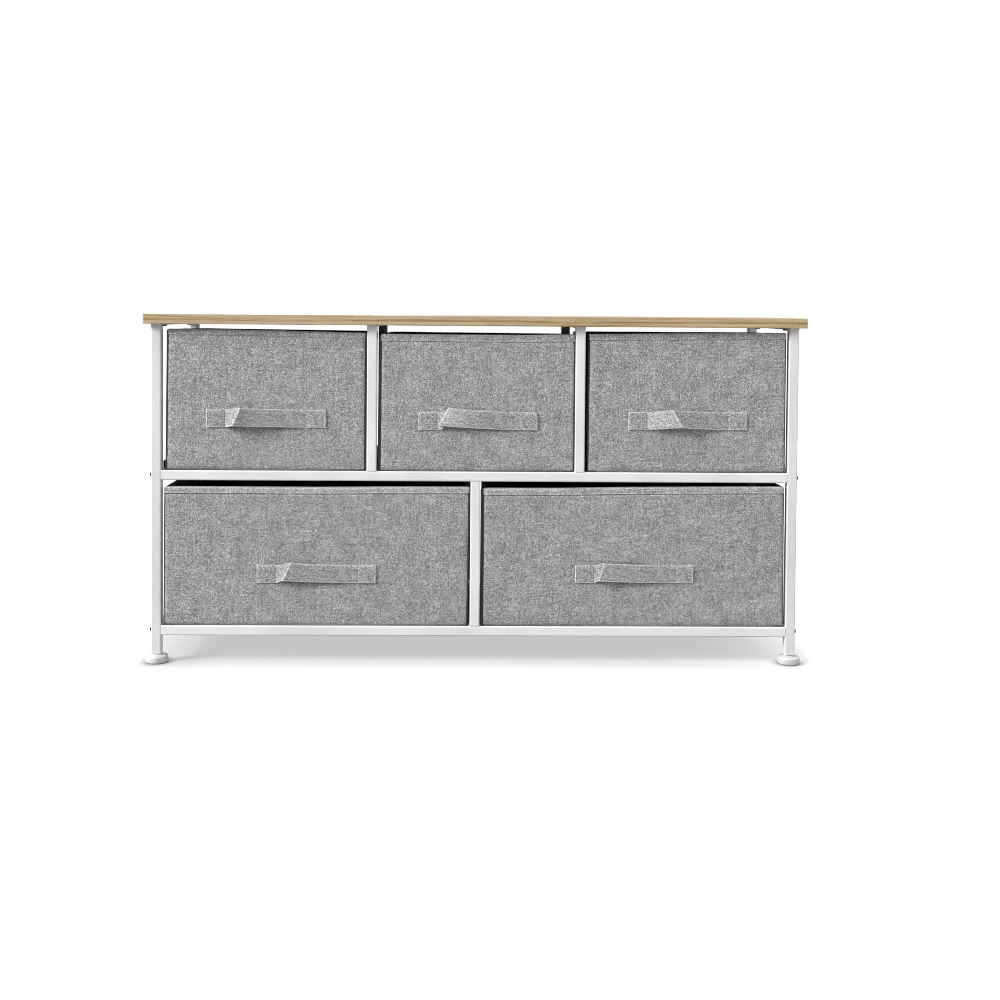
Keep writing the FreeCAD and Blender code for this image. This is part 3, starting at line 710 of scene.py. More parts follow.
@dataclass(frozen=True)
class Stitching:
    """A row of stitches, with the size of one stitch."""

    pitch: float = 4.6 * MM         # real stitches are 3 mm apart, too fine to show
    length: float = 3.2 * MM
    radius: float = 0.33 * MM
    arch: float = 1.5               # how high a stitch arches, in thread radii
    sunk: float = 0.9               # how deep its ends sink in, in thread radii
    ends: float = 0.6               # how thick its ends are, as a share of the thread

    def lay(self, surface: Surface, places: Sequence[Vector], outward: Vector) -> None:
        """Lays the stitches along a line.

        Args:
            surface: Collects the stitches.
            places: The corners of the sewn line.
            outward: The way the cloth faces.
        """
        for start, end in zip(places, places[1:]):
            run = end - start
            if run.length < self.length:
                continue
            along = run.normalized()
            side = along.cross(outward).normalized()
            count = max(1, int(run.length / self.pitch))
            for number in range(count):
                middle = start + along * (run.length / count) * (number + 0.5)
                rings = []
                for share in (-1.0, -0.55, 0.0, 0.55, 1.0):
                    rise = self.radius * (self.arch * (1 - share * share) - self.sunk)
                    centre = middle + along * share * self.length / 2 + outward * rise
                    thick = self.radius * (1.0 if abs(share) < 1.0 else self.ends)
                    rings.append([centre + side * thick * math.cos(a)
                                  + outward * thick * math.sin(a)
                                  for a in (math.tau * k / 6 for k in range(6))])
                surface.loft(rings)


# ---------------------------------------------------------------------------
# Board, frame and fasteners
# ---------------------------------------------------------------------------
@dataclass
class Carcass:
    """The steel frame, its board, runners and screws."""

    finishes: Finishes
    bead_radius: float = 1.3 * MM
    bead_ripple: float = 0.25 * MM
    bead_pitch: float = 3.0 * MM
    bead_step: float = 1.5 * MM
    bead_flatness: float = 0.8      # how far it stands off the tube, as a share of its radius
    tube_corner: float = 2.0 * MM

    def build(self) -> None:
        """Gives each steel, wood and plastic solid its finish, and welds the side tubes."""
        made = self.finishes
        kinds = {"_runner": made.runner, "_leg": made.leg_powder, "_rail": made.powder,
                 "_post_": made.powder, "_top_strap": made.powder,
                 "divider_spigots": made.powder, "_screws": made.steel,
                 "rail_bolts": made.steel, "top_board": made.oak, "foot_inserts": made.insert}
        dressed = dict.fromkeys(kinds, 0)
        for name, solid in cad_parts.items():
            kind = next((kind for kind in kinds if kind in name), None)
            if kind:
                solid.data.materials.clear()
                solid.data.materials.append(kinds[kind])
                dressed[kind] += 1
        LOG.info("solids dressed: %s", dressed)
        for side in ("left", "right"):
            for level in ("bottom", "middle"):
                low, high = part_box(f"{side}_{level}_side_rail")
                beads = Surface()
                for y in (low.y, high.y):
                    self.lay_bead(beads, low, high, y)
                beads.build(f"{side}_{level}_weld_beads", made.powder, "frame",
                            crease_degrees=60)

    def lay_bead(self, beads: Surface, low: Vector, high: Vector, y: float) -> None:
        """Lays one closed bead round a square tube's end.

        Args:
            beads: Collects the bead.
            low: The tube's lowest corner.
            high: The tube's highest corner.
            y: The face of the leg that the tube meets.
        """
        inwards = 1 if y < 0 else -1
        middle = (low + high) / 2
        half = (high - low) / 2
        rings = []
        for x, z, nx, nz, length in rounded_loop(half.x, half.z, self.tube_corner,
                                                 self.bead_step, 3):
            radius = self.bead_radius
            radius += self.bead_ripple * math.cos(math.tau * length / self.bead_pitch)
            ring = []
            for angle in (math.tau * k / 6 for k in range(6)):
                out = radius * math.cos(angle) * self.bead_flatness
                ring.append((middle.x + x + nx * out, y + inwards * radius * math.sin(angle),
                             middle.z + z + nz * out))
            rings.append(ring)
        beads.loft(rings + rings[:1], caps=False)


@dataclass
class LevellingFoot:
    """A moulded glide that screws into the end of a leg."""

    name: str
    material: Material
    rim_radius: float = 2.6 * MM
    belt: float = 7.2 * MM          # height of the groove round the puck
    groove: float = 0.5 * MM
    shoulder_radius: float = 11.6 * MM
    shoulder_height: float = 11.6 * MM
    collar_radius: float = 8.5 * MM
    stem_radius: float = 3.0 * MM
    seat_gap: float = 0.9 * MM
    soft_edge: float = 0.4 * MM

    def build(self) -> None:
        """Turns the glide: a rounded puck, a groove, a dome, a collar and a stem."""
        low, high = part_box(self.name)
        radius = (high.x - low.x) / 2
        centre = Vector(((low.x + high.x) / 2, (low.y + high.y) / 2, low.z))
        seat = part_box(self.name.replace("foot", "leg"))[0].z - self.seat_gap
        edge = radius - self.rim_radius
        dome_foot = self.belt + 0.9 * MM
        outline = [(0.4 * MM, 0.0), (edge, 0.0)]
        outline += arc((edge, self.rim_radius), self.rim_radius, -75, 0, 5)
        outline += [(radius, self.belt), (radius - self.groove, self.belt + 0.2 * MM),
                    (radius - self.groove, self.belt + 0.7 * MM)]
        for angle in (math.radians(90 * number / 7) for number in range(1, 8)):
            outline.append((
                self.shoulder_radius - 0.1 * MM + (radius - self.shoulder_radius) * math.cos(angle),
                dome_foot + (self.shoulder_height - dome_foot) * math.sin(angle)))
        outline += [(self.collar_radius + self.soft_edge, self.shoulder_height),
                    (self.collar_radius, self.shoulder_height + self.soft_edge),
                    (self.collar_radius, seat - self.soft_edge),
                    (self.collar_radius - self.soft_edge, seat),
                    (self.stem_radius, seat), (self.stem_radius, high.z - 0.5 * MM),
                    (self.stem_radius - 0.5 * MM, high.z)]
        surface = Surface()
        surface.loft(turned(outline, centre))
        surface.build(f"{self.name}_glide", self.material, self.name, self.name, 30)


# ---------------------------------------------------------------------------
# Drawers
# ---------------------------------------------------------------------------
@dataclass(frozen=True)
class StrapShape:
    """How one strap pull has creased with use, in millimetres.

    The strap is longer than the distance between its sewn ends. Its slack is pressed
    towards the left end, where it stands furthest out at a crease that crosses it
    aslant. Places run along the strap from its left end.
    """

    crease: float                   # where the middle of the crease is
    lean: float                     # how far right the crease's top is of its bottom
    stand: float                    # how far the crease stands off the panel
    lift: float                     # how far the strap rides up at the crease
    under: float = 0.0              # how far the cloth under the crease reaches right
    spring: float = 9.0             # how fast the cloth falls away right of the crease
    twist: float = 0.0              # how much further out the lower edge stands
    swell: Pair = (0.75, 0.55)      # how it stands further right, as shares of stand
    flank: float = 0.0              # how much painted highlight the cloth left of the crease has
    body: float = 0.0               # how much painted highlight the cloth just right of the crease has
    rise: float = 0.0               # how far the strap is sewn above its true place
    dent: Point = (75.0, 20.0, 0.0)  # the dent over it: place, reach, depth


@dataclass(frozen=True)
class SewnFit:
    """How one drawer is sewn and has settled, in millimetres from true.

    Shifts go to the right. The bin stands a little past the cloth of the front.
    """

    rises: tuple[float, ...]        # the rim's rise, at even steps from left to right
    left: Pair                      # the left side's shift, at its foot and at its top
    right: Pair                     # the right side's shift, at its foot and at its top
    margin: Pair                    # how far the bin shows past the cloth, left and right; set so its black also fills the dark gaps beside the posts, as painted shade
    sag: Pair                       # how far the back rim hangs down, left and right
    hem: float                      # how far under the rim the front's hem is sewn
    rubbed: float                   # how much painted highlight lies on the rim and over the hem, from 0 to 1; it also sets how deep the hem pulls in
    strap: StrapShape               # its strap pull


class SewnDrawer(Enum):
    """The five drawers. No two are sewn, or have creased, quite alike."""

    upper_drawer_1 = SewnFit(
        (2.6, 2.4, 1.6, -0.2, -1.3), (0.5, 2.7), (-1.7, -1.2), (1.5, 1.6), (0.6, 3.1), 9.2, 0.0,
        StrapShape(47.7, 9.5, 14.5, 3.2, spring=12.0, twist=4.0, swell=(0.5, 0.18),
                   dent=(117.0, 14.0, 0.7)))
    upper_drawer_2 = SewnFit(
        (-2.8, -2.9, -3.1, -3.0, -1.4), (-2.3, -1.3), (0.2, 0.1), (3.2, 0.4), (4.0, 5.6), 11.3,
        0.6, StrapShape(38.3, 16.0, 6.5, 7.2, under=11.0, spring=15.0, flank=0.3, body=0.7,
                        rise=-2.0, swell=(1.0, 0.6), dent=(94.0, 15.0, 1.3)))
    upper_drawer_3 = SewnFit(
        (-0.8, 0.2, 1.4, 2.3, 2.8), (-0.8, 0.2), (-1.1, -1.7), (0.4, -0.4), (1.4, 1.0), 10.2,
        0.3, StrapShape(73.1, -16.4, 14.0, 3.7, spring=14.0, flank=0.36, swell=(0.5, 0.22),
                        dent=(109.0, 30.0, 1.5)))
    lower_drawer_1 = SewnFit(
        (-0.5, -0.4, -0.4, 0.8, 1.3), (-1.5, -0.2), (-0.8, 1.8), (0.0, 1.0), (1.0, 1.0), 9.8,
        1.0, StrapShape(46.6, 12.3, 8.0, 5.0, spring=10.0, twist=2.5, swell=(0.7, 0.3),
                        dent=(73.0, 20.0, 2.0)))
    lower_drawer_2 = SewnFit(
        (-0.5, -0.2, 2.0, 3.2, 4.0), (-1.3, -1.1), (-0.6, -1.6), (3.8, -0.8), (1.0, 1.0), 10.2,
        0.9, StrapShape(40.1, 7.6, 5.5, 4.0, spring=12.0, twist=1.6, rise=1.8,
                        swell=(1.05, 0.65), dent=(77.0, 27.0, 2.2)))


def clamp(value: float) -> float:
    """The value, or the nearer of 0 and 1 when it lies beyond them."""
    return min(1.0, max(0.0, value))


def bezier(corners: Sequence[Pair], share: float) -> Pair:
    """A place on a Bezier curve.

    Args:
        corners: Its control points.
        share: From 0 at its start to 1 at its end.

    Returns:
        The place.
    """
    points = list(corners)
    while len(points) > 1:
        points = [(ax + (bx - ax) * share, ay + (by - ay) * share)
                  for (ax, ay), (bx, by) in zip(points, points[1:])]
    return points[0]


def blend_table(table: Sequence[Pair], place: float) -> float:
    """Reads a value between the rows of a table of places and values.

    Args:
        table: Rows of place and value, by rising place.
        place: Where to read.

    Returns:
        The value there, or the end row's value beyond the table.
    """
    if place <= table[0][0]:
        return table[0][1]
    for (a, low), (b, high) in zip(table, table[1:]):
        if place <= b:
            return low + (high - low) * (place - a) / (b - a)
    return table[-1][1]


def between(ends: Pair, share: float) -> float:
    """The value at a share of the way from one end to the other, held at both ends."""
    return ends[0] + (ends[1] - ends[0]) * clamp(share)


@dataclass
class Drawer:
    """One sewn drawer: a bin, a cloth-covered front, a base board and a strap pull."""

    name: str
    finishes: Finishes
    seed: int
    hem_stitch: Stitching = Stitching()
    strap_stitch: Stitching = Stitching(3.68 * MM, 2.24 * MM, 0.495 * MM)
    stitch_inset: float = 4.0 * MM  # how far in the front's hem stitches start and end
    stitch_depth: float = 1.35 * MM  # how far they lie behind the face's foremost place
    corner_radius: float = 1.8 * MM
    rim_radius: float = 1.5 * MM
    slice_size: float = 7.0 * MM
    skirt: float = 0.5 * MM         # how far the cloth hangs under the panel
    hem_height: float = 12.0 * MM
    fold: float = 1.2 * MM
    fold_bend: float = 1.1 * MM
    fold_tuck: float = 0.6 * MM     # how far the fold reaches into the panel
    flap: float = 14.0 * MM
    flap_sag: float = 0.5 * MM
    fold_inset: float = 7.8 * MM
    bin_corner: float = 7.0 * MM
    bin_wall: float = 2.6 * MM
    bin_floor: float = 2.0 * MM
    bin_slice: float = 18.0 * MM    # the most that two rings of its wall stand apart
    bin_step: float = 14.0 * MM     # and two points of a ring
    bulge: Pair = (0.3, 1.4)        # how far the wall bulges, at its mean and at most, in mm
    hem_thickness: float = 0.7 * MM
    pad_length: float = 29.0 * MM
    strap_thickness: float = 1.8 * MM
    pad_thickness: float = 2.7 * MM
    pad_slope: float = 11.0 * MM
    seam_inset: float = 3.0 * MM
    seam_dip: float = 0.7 * MM
    panel_dip: float = 0.75 * MM    # the panel's face behind the hem's face
    padding: float = 3.0 * MM       # how far soft padding pushes the cloth out
    pillow: float = 1.6 * MM        # how far the padded panel rounds off at its edges
    pillow_run: float = 7.0 * MM
    hem_pull: Pair = (0.815, 1.4)   # how deep the hem pulls in, in millimetres, as the drawer's rubbed value goes from 0 to 1
    rim_highlight_reach: float = 2.6 * MM     # how far down from the rim the painted highlight reaches
    hem_highlight: tuple[Pair, float] = ((0.5 * MM, 1.9 * MM), 0.7)  # and where above the hem line a painted highlight lies, and how much
    long_wave: float = 95.0 * MM    # the sizes of the cloth's waves, crinkles and puckers
    crinkle: float = 26.0 * MM
    pucker: float = 9.0 * MM
    settle_run: float = 6.0 * MM    # how far in from its edges the cloth lies free
    dent_height: float = 5.5 * MM
    dent_drop: float = 1.5 * MM     # the dent's middle under the strap's upper edge
    bin_wave: float = 110.0 * MM    # the waves of the bin's wall, its hem and board, the flap
    hem_wave: float = 60.0 * MM
    flap_wave: float = 30.0 * MM
    fray: float = 0.12 * MM
    fray_size: float = 12.0 * MM
    # How far in from each end the strap's edges get a painted highlight.
    end_highlight_reach: float = 1.6 * MM

    def build(self) -> None:
        """Builds the drawer's pieces in the order they are sewn."""
        self.fit = SewnDrawer[self.name].value
        self.front_low, self.front_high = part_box(f"{self.name}_front")
        self.bin_low, self.bin_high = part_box(f"{self.name}_bin")
        self.strap_low, self.strap_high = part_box(f"{self.name}_handle")
        self.face = self.front_low.y - self.padding
        self.back = self.bin_low.y
        self.seam = self.front_high.z - self.fit.hem * MM
        self.build_bin()
        self.build_base_board()
        self.build_front()
        self.build_fold()
        self.build_margin()
        self.sew_front()
        self.build_strap()

    def ripple(self, x: float, z: float, size: float) -> float:
        """Smooth cloth relief between -1 and 1.

        Args:
            x: Place across the cloth in metres.
            z: Place up the cloth in metres.
            size: Size of one ripple in metres.

        Returns:
            The relief there.
        """
        return noise.noise(Vector((x / size, z / size, self.seed * 7.3)))

    def settle(self, place: Vector) -> Vector:
        """Moves a point of a true drawer to where the sewn drawer holds it.

        Args:
            place: The point on the true drawer.

        Returns:
            The same point on this drawer.
        """
        fit, low, high = self.fit, self.front_low, self.front_high
        across = (place.x - low.x) / (high.x - low.x)
        up = (place.z - low.z) / (high.z - low.z)
        back = clamp((place.y - low.y) / (self.bin_high.y - low.y))
        steps = len(fit.rises) - 1
        rise = blend_table([(n / steps, value) for n, value in enumerate(fit.rises)], across)
        shift = between((between(fit.left, up), between(fit.right, up)), across) * (1 - back)
        slump = between(fit.sag, across) * back
        drop = self.skirt * max(0.0, 1.0 - up * 8) * (1 - min(1.0, back * 20))
        return Vector((place.x + shift * MM, place.y,
                       place.z + (rise * (1 - back) - slump) * up * MM - drop))

    def finish(self, work: bmesh.types.BMesh, piece: str, material: Material,
               stands_for: str = "", wear: Sequence[float] = ()) -> None:
        """Makes one of the drawer's pieces from a bmesh.

        Args:
            work: The bmesh, which is freed.
            piece: The end of the piece's name.
            material: Its finish.
            stands_for: The end of the solid's name that it replaces, or nothing.
            wear: How much painted highlight each point has, or nothing.
        """
        mesh = bpy.data.meshes.new(f"{self.name}_{piece}")
        work.to_mesh(mesh)
        work.free()
        finish_mesh(mesh, material, self.name, stands_for and f"{self.name}_{stands_for}",
                    wear=wear)

    def sew(self, piece: str, material: Material, stitch: Stitching,
            rows: Iterable[tuple[Sequence[Vector], Vector]]) -> None:
        """Sews the rows of stitches of one piece.

        Args:
            piece: The end of the piece's name.
            material: The thread.
            stitch: The kind of stitch.
            rows: For each row the corners of its line and the way its cloth faces.
        """
        surface = Surface()
        for places, outward in rows:
            stitch.lay(surface, places, outward)
        surface.build(f"{self.name}_{piece}", material, self.name, crease_degrees=40)

    def build_front(self) -> None:
        """The padded cloth front over its stiffener."""
        low, high = self.front_low, self.front_high
        pulled = between(self.hem_pull, self.fit.rubbed)
        profile = [(self.seam + place * MM, dip * MM) for place, dip in (
            (-3.2, 0.75), (-2.0, 0.85), (-1.4, pulled), (0.3, pulled), (0.6, 0.25), (1.8, 0.1),
            (3.0, 0.2))]
        cuts = [(2, place) for place, _ in profile]
        for inset in (1.5 * MM, 3 * MM, 4.5 * MM, 6 * MM):
            cuts += [(0, low.x + inset), (0, high.x - inset), (2, low.z + inset),
                     (2, high.z - inset)]
        cuts += [(2, self.strap_high.z + place * MM) for place in (-4, -1, 1, 3, 5, 8)]
        work = rounded_slab(Vector((low.x, self.face, low.z)),
                            Vector((high.x, self.back, high.z)), 1, self.corner_radius,
                            self.rim_radius, self.slice_size, cuts)
        # Painted highlight on the rim's round-over and on a band just above the hem line, scaled by
        # the drawer's rubbed value.
        wear, ((start, end), rubbed) = [], self.hem_highlight
        for vert in work.verts:
            x, y, z = vert.co
            rim = max(0.0, 1 - (high.z - z) / self.rim_highlight_reach)
            hem = rubbed if start < z - self.seam < end else 0.0
            wear.append(self.fit.rubbed * max(rim, hem))
            if y < self.face + self.rim_radius * 0.6:
                vert.co.y += blend_table(profile, z) + self.relief(x, z)
            vert.co = self.settle(vert.co)
        self.finish(work, "cloth_front", self.finishes.linen, "front", wear)

    def relief(self, x: float, z: float) -> float:
        """How far the padded face is pressed back, apart from its hem.

        Args:
            x: Place across the face.
            z: Place up the face.

        Returns:
            The depth in metres.
        """
        low, high = self.front_low, self.front_high
        dent_x, dent_reach, dent_depth = (value * MM for value in self.fit.strap.dent)
        margin = min(x - low.x, high.x - x, z - low.z, high.z - z)
        rounding = self.pillow * max(0.0, 1 - margin / self.pillow_run) ** 2
        near = ((x - self.strap_low.x - dent_x) / dent_reach) ** 2
        near += ((z - self.strap_high.z + self.dent_drop) / self.dent_height) ** 2
        waves = 0.3 * self.ripple(x, z, self.long_wave) + 0.12 * self.ripple(x, z, self.crinkle)
        hem = math.exp(-((z - self.seam) / self.settle_run) ** 2)
        waves += 0.2 * hem * self.ripple(x, z, self.pucker)
        return (rounding + dent_depth * math.exp(-near)
                + waves * MM * min(margin / self.settle_run, 1))

    def build_fold(self) -> None:
        """The part of the front's cloth that wraps the rim and hangs inside."""
        low, high, bend = self.front_low, self.front_high, self.fold_bend
        flap_end, tuck = high.z - self.flap, self.back - self.fold_tuck
        under, inner = high.z - self.fold + 0.1 * MM, high.y - self.fold + 0.05 * MM
        outline = [(tuck, high.z), *arc((high.y - bend, high.z - bend), bend, 90, 0, 4),
                   (high.y, flap_end + 0.5 * MM), (high.y - 0.5 * MM, flap_end),
                   (inner, flap_end), (inner, under), (tuck, under)]
        start, end = low.x + self.fold_inset, high.x - self.fold_inset
        count = round((end - start) / self.slice_size)
        rings = []
        for x in (start + (end - start) * number / count for number in range(count + 1)):
            sag = self.flap_sag * self.ripple(x, 0.0, self.flap_wave)
            rings.append([self.settle(Vector((x, y, z + sag * (z < high.z - self.flap / 2))))
                          for y, z in outline])
        surface = Surface()
        surface.loft(rings)
        surface.build(f"{self.name}_hem_fold", self.finishes.linen, self.name)

    def build_margin(self) -> None:
        """The face of the bin that the front is sewn to, which shows past its sides. In a darker
        copy of the black cloth, it also stands in as painted shade for the deep gaps beside the
        posts.
        """
        low, high = self.front_low, self.front_high
        left, right = self.fit.margin
        cuts = [(0, low.x + place * MM) for place in (3, 5)]
        cuts += [(0, high.x - place * MM) for place in (3, 5)]
        work = rounded_slab(
            Vector((low.x - left * MM, self.face + 1.7 * MM, low.z + 0.3 * MM)),
            Vector((high.x + right * MM, self.back - 0.3 * MM, high.z - 1.4 * MM)), 1,
            self.corner_radius, 0.5 * MM, 3 * self.slice_size, cuts)
        for vert in work.verts:
            if low.x + 4 * MM < vert.co.x < high.x - 4 * MM:
                vert.co.y = max(vert.co.y, self.back - 0.9 * MM)
            vert.co = self.settle(vert.co)
        self.finish(work, "bin_face", self.finishes.shade_dark_binding)

    def sew_front(self) -> None:
        """The row of stitches along the front's hem."""
        start = self.front_low.x + self.stitch_inset
        end = self.front_high.x - self.stitch_inset
        steps = 12
        line = [self.settle(Vector((start + (end - start) * number / steps,
                                    self.face + self.stitch_depth, self.seam - 0.1 * MM)))
                for number in range(steps + 1)]
        self.sew("front_hem_stitches", self.finishes.hem_thread, self.hem_stitch,
                 [(line, Vector((0, -1, 0)))])

    def bin_section(self, height: float, base: float) -> list[Pair]:
        """The section through the bin's wall, from its foot over the hem to its floor.

        Args:
            height: The wall's height.
            base: The height of the foot of the hem.

        Returns:
            For each place how far it lies inside the wall's outer face, and its height.
        """
        wall, hem = self.bin_wall, self.hem_thickness
        rows = math.ceil((base - 4 * MM) / self.bin_slice)
        levels = [2 * MM + (base - 4 * MM) * n / rows for n in range(1, rows + 1)]
        doubled = wall + 0.6 * MM
        return [
            (1.3 * MM, 0.0), (0.4 * MM, 0.4 * MM), (0.0, 1.3 * MM),
            *((0.0, level) for level in levels),
            (0.0, base - 0.6 * MM), (-hem, base + 0.3 * MM), (-hem, base + 2.0 * MM),
            (-hem * 0.3, base + 2.6 * MM), (-hem, base + 3.2 * MM), (-hem, height - 1.0 * MM),
            (-hem * 0.3, height - 0.2 * MM), (0.6 * MM, height), (wall - 0.4 * MM, height),
            (wall + 0.4 * MM, height - 0.3 * MM), (doubled, height - 1.2 * MM),
            (doubled, base + 3.2 * MM), (wall + 0.1 * MM, base + 2.6 * MM),
            (doubled, base + 2.0 * MM), (doubled, base + 0.3 * MM), (wall, base - 0.6 * MM),
            *((wall, level) for level in reversed(levels)),
            (wall, self.bin_floor + 1.0 * MM), (wall + 1.0 * MM, self.bin_floor)]

    def build_bin(self) -> None:
        """The open sewn bin: walls with a doubled hem, and a floor."""
        low, high, hem = self.bin_low, self.bin_high, self.hem_thickness
        half_x, half_y = (high.x - low.x) / 2 - hem, (high.y - hem - low.y) / 2
        centre_x, centre_y = (low.x + high.x) / 2, (low.y + high.y - hem) / 2
        height = high.z - low.z
        hem_base = height - self.hem_height
        fold_half = (self.front_high.x - self.front_low.x) / 2 - self.fold_inset
        loop = rounded_loop(half_x, half_y, self.bin_corner, self.bin_step)
        usual, most = self.bulge
        rings = []
        for inset, z in self.bin_section(height, hem_base):
            swell = math.sin(math.pi * clamp(z / height)) ** 0.7
            ring = []
            for x, y, nx, ny, length in loop:
                bow, wave = 0.0, 0.0
                if ny >= -0.3:
                    bow = (self.ripple(length, z, self.bin_wave) + usual) * swell
                    bow = min(bow, most) * MM
                    if z > hem_base:
                        wave = -0.5 * MM * abs(self.ripple(length, 5.0, self.hem_wave))
                if z > height - 2 * MM and ny < -0.9 and abs(x) <= fold_half:
                    wave = -self.fold
                ring.append(self.settle(Vector((
                    centre_x + x + nx * (bow - inset),
                    centre_y + max(y + ny * (bow - inset), -half_y), low.z + z + wave))))
            rings.append(ring)
        surface = Surface()
        surface.loft(rings)
        surface.build(f"{self.name}_sewn_bin", self.finishes.lining, self.name,
                      f"{self.name}_bin")
        self.sew_bin(centre_x - half_x, centre_x + half_x, centre_y - half_y,
                     centre_y + half_y, low.z + hem_base + 2.6 * MM)

    def sew_bin(self, left: float, right: float, front: float, rear: float,
                height: float) -> None:
        """The hem's stitches, outside and inside the bin's sides and back.

        Args:
            left: X of the bin's left side.
            right: X of its right side.
            front: Y of its front.
            rear: Y of its back.
            height: Z of the hem line.
        """
        clear = self.bin_corner + 1 * MM
        start = front + 9 * MM
        rows = []
        for line, normal in ((((left, start), (left, rear - clear)), (-1, 0, 0)),
                             (((left + clear, rear), (right - clear, rear)), (0, 1, 0)),
                             (((right, start), (right, rear - clear)), (1, 0, 0))):
            out = Vector(normal)
            for offset, sign in ((self.hem_thickness * 0.4, 1),
                                 (-(self.bin_wall + 0.2 * MM), -1)):
                rows.append(([self.settle(Vector((x, y, height))) + out * offset
                              for x, y in line], out * sign))
        self.sew("bin_hem_stitches", self.finishes.black_thread, self.hem_stitch, rows)

    def build_base_board(self) -> None:
        """The covered board that lies loose in the bin."""
        low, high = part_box(f"{self.name}_base_board")
        work = rounded_slab(low, high, 2, self.corner_radius, 1.0 * MM, 30 * MM)
        for vert in work.verts:
            if vert.co.z > low.z + 1.5 * MM:
                vert.co.z += 0.25 * MM * (self.ripple(vert.co.x, vert.co.y, self.hem_wave) - 1)
        self.finish(work, "covered_board", self.finishes.board, "base_board")

    def strap_yarn(self, share: float, span: float) -> list[tuple[float, float, float, float]]:
        """The run of one yarn along the strap, from its left end to its right end.

        Args:
            share: Where the yarn lies, from 0 at the lower edge to 1 at the upper.
            span: The distance between the strap's two ends.

        Returns:
            For each station its place along the panel, how far it rides up, how far
            it stands out, all in metres, and how much painted highlight the cloth has there.
        """
        shape, pad = self.fit.strap, self.pad_length
        crease = (shape.crease + shape.lean * (share - 0.5)) * MM
        stand, lift = (shape.stand + shape.twist * (0.5 - share)) * MM, shape.lift * MM
        under, reach, end = shape.under * MM, crease - pad, span - pad
        flank = [(pad, 0.0), (pad + 0.33 * reach + under, 0.28 * stand),
                 (pad + 0.67 * reach + under, 0.7 * stand), (crease, stand)]
        back = [(crease, stand), (crease + shape.spring * MM, shape.swell[0] * stand),
                (crease + 0.6 * (end - crease), shape.swell[1] * stand), (end, 0.0)]
        yarn = [(pad * n / 20, 0.0, 0.0, 0.0) for n in (0, 0.7, 1.2, *range(2, 20))]
        # The flank carries its own painted highlight.
        for t in (number / 19 for number in range(19)):
            along, out = bezier(flank, t)
            yarn.append((along, lift * t * t * (3 - 2 * t), out, shape.flank))
        # Painted highlight along the crease's fold edge, and on the cloth just right of it.
        for t, wear in ((0.0, 1.0), (0.004, 0.8), (0.012, shape.body)):
            along, out = bezier(back, t)
            yarn.append((along, lift * (1 - t), out, wear))
        for t in (number / 40 for number in range(1, 40)):
            along, out = bezier(back, t)
            yarn.append((along, lift * (1 - t) ** 1.2, out, shape.body * max(0.0, 1 - t / 0.6)))
        yarn += [(end + pad * n / 20, 0.0, 0.0, 0.0) for n in (*range(19), 18.8, 19.3, 20)]
        return yarn

    def seam_depth(self, along: float, up: float, span: float, width: float) -> float:
        """How deep the box seams pull a strap's sewn end in.

        Args:
            along: Place along the strap.
            up: Place up the strap.
            span: The strap's length.
            width: The strap's width.

        Returns:
            The depth in metres.
        """
        pad, inset = self.pad_length, self.seam_inset
        near = along if along < span / 2 else span - along
        if near > pad:
            return 0.0
        slope = (width - 2 * inset) / (pad - 2 * inset)
        ahead = near - inset if along < span / 2 else pad - inset - near
        seams = (abs(near - inset), abs(near - (pad - inset)) + 1.0 * MM, abs(up - inset),
                 abs(up - (width - inset)),
                 abs(up - inset - slope * ahead) / math.hypot(1, slope))
        return self.seam_dip * math.exp(-(min(seams) / (0.9 * MM)) ** 2)

    def build_strap(self) -> None:
        """The strap pull, with padded ends that are sewn down in a box."""
        rise = Vector((0, 0, self.fit.strap.rise * MM))
        low, high = self.strap_low + rise, self.strap_high + rise
        face = self.face + self.panel_dip
        span, width = high.x - low.x, high.z - low.z
        edges = [0.0, 0.02, 0.04, 0.07]
        shares = edges + [0.15 + 0.05 * n for n in range(15)] + [1 - e for e in reversed(edges)]
        yarns = [self.strap_yarn(share, span) for share in shares]
        middle = [Vector((along, out)) for along, _, out, _ in yarns[len(yarns) // 2]]
        surface, rings, walked = Surface(), [], 0.0
        for station, place in enumerate(middle):
            walked += (place - middle[max(station - 1, 0)]).length
            outer, inner, cloth, wear = [], [], [], []
            for share, yarn in zip(shares, yarns):
                # worn is the painted highlight that strap_yarn gives this station.
                along, up, out, worn = yarn[station]
                before, after = yarn[max(station - 1, 0)], yarn[min(station + 1, len(yarn) - 1)]
                run = Vector((after[0] - before[0], after[2] - before[2])).normalized()
                edge, end = min(share, 1 - share), min(along, span - along)
                thick = between((self.strap_thickness, self.pad_thickness),
                                (self.pad_length - end) / self.pad_slope)
                belly = thick * min(1.0, 0.72 + 4.0 * edge)
                if out == 0.0:
                    belly -= self.seam_depth(along, width * share, span, width) * min(1, edge * 20)
                    belly *= min(1.0, 0.6 + end / (2.2 * MM))
                fray = self.fray * self.ripple(along, share, self.fray_size) * (edge < 0.05)
                z = low.z + width * share + up + fray
                for side, depth in ((outer, belly), (inner, 0.1 * MM)):
                    side.append((low.x + along - run.y * depth, face - out - run.x * depth, z))
                cloth.append((walked, width * share))
                # Painted highlight: a pale band along both long edges, stronger on the lower one,
                # and over each end.
                hem = min(1.0, (0.07 - edge) / 0.03) * (0.9 if share < 0.5 else 0.4)
                wear.append(max(worn, 0.8 if end < self.end_highlight_reach else 0.0, hem))
            rings.append(outer + inner[::-1])
            surface.cloth += cloth + cloth[::-1]
            surface.wear += wear + [0.0] * len(wear)
        surface.loft(rings)
        surface.build(f"{self.name}_strap_pull", self.finishes.strap, self.name,
                      f"{self.name}_handle", 35)
        self.sew_strap(low, high, face - self.pad_thickness + self.seam_dip - 0.25 * MM)

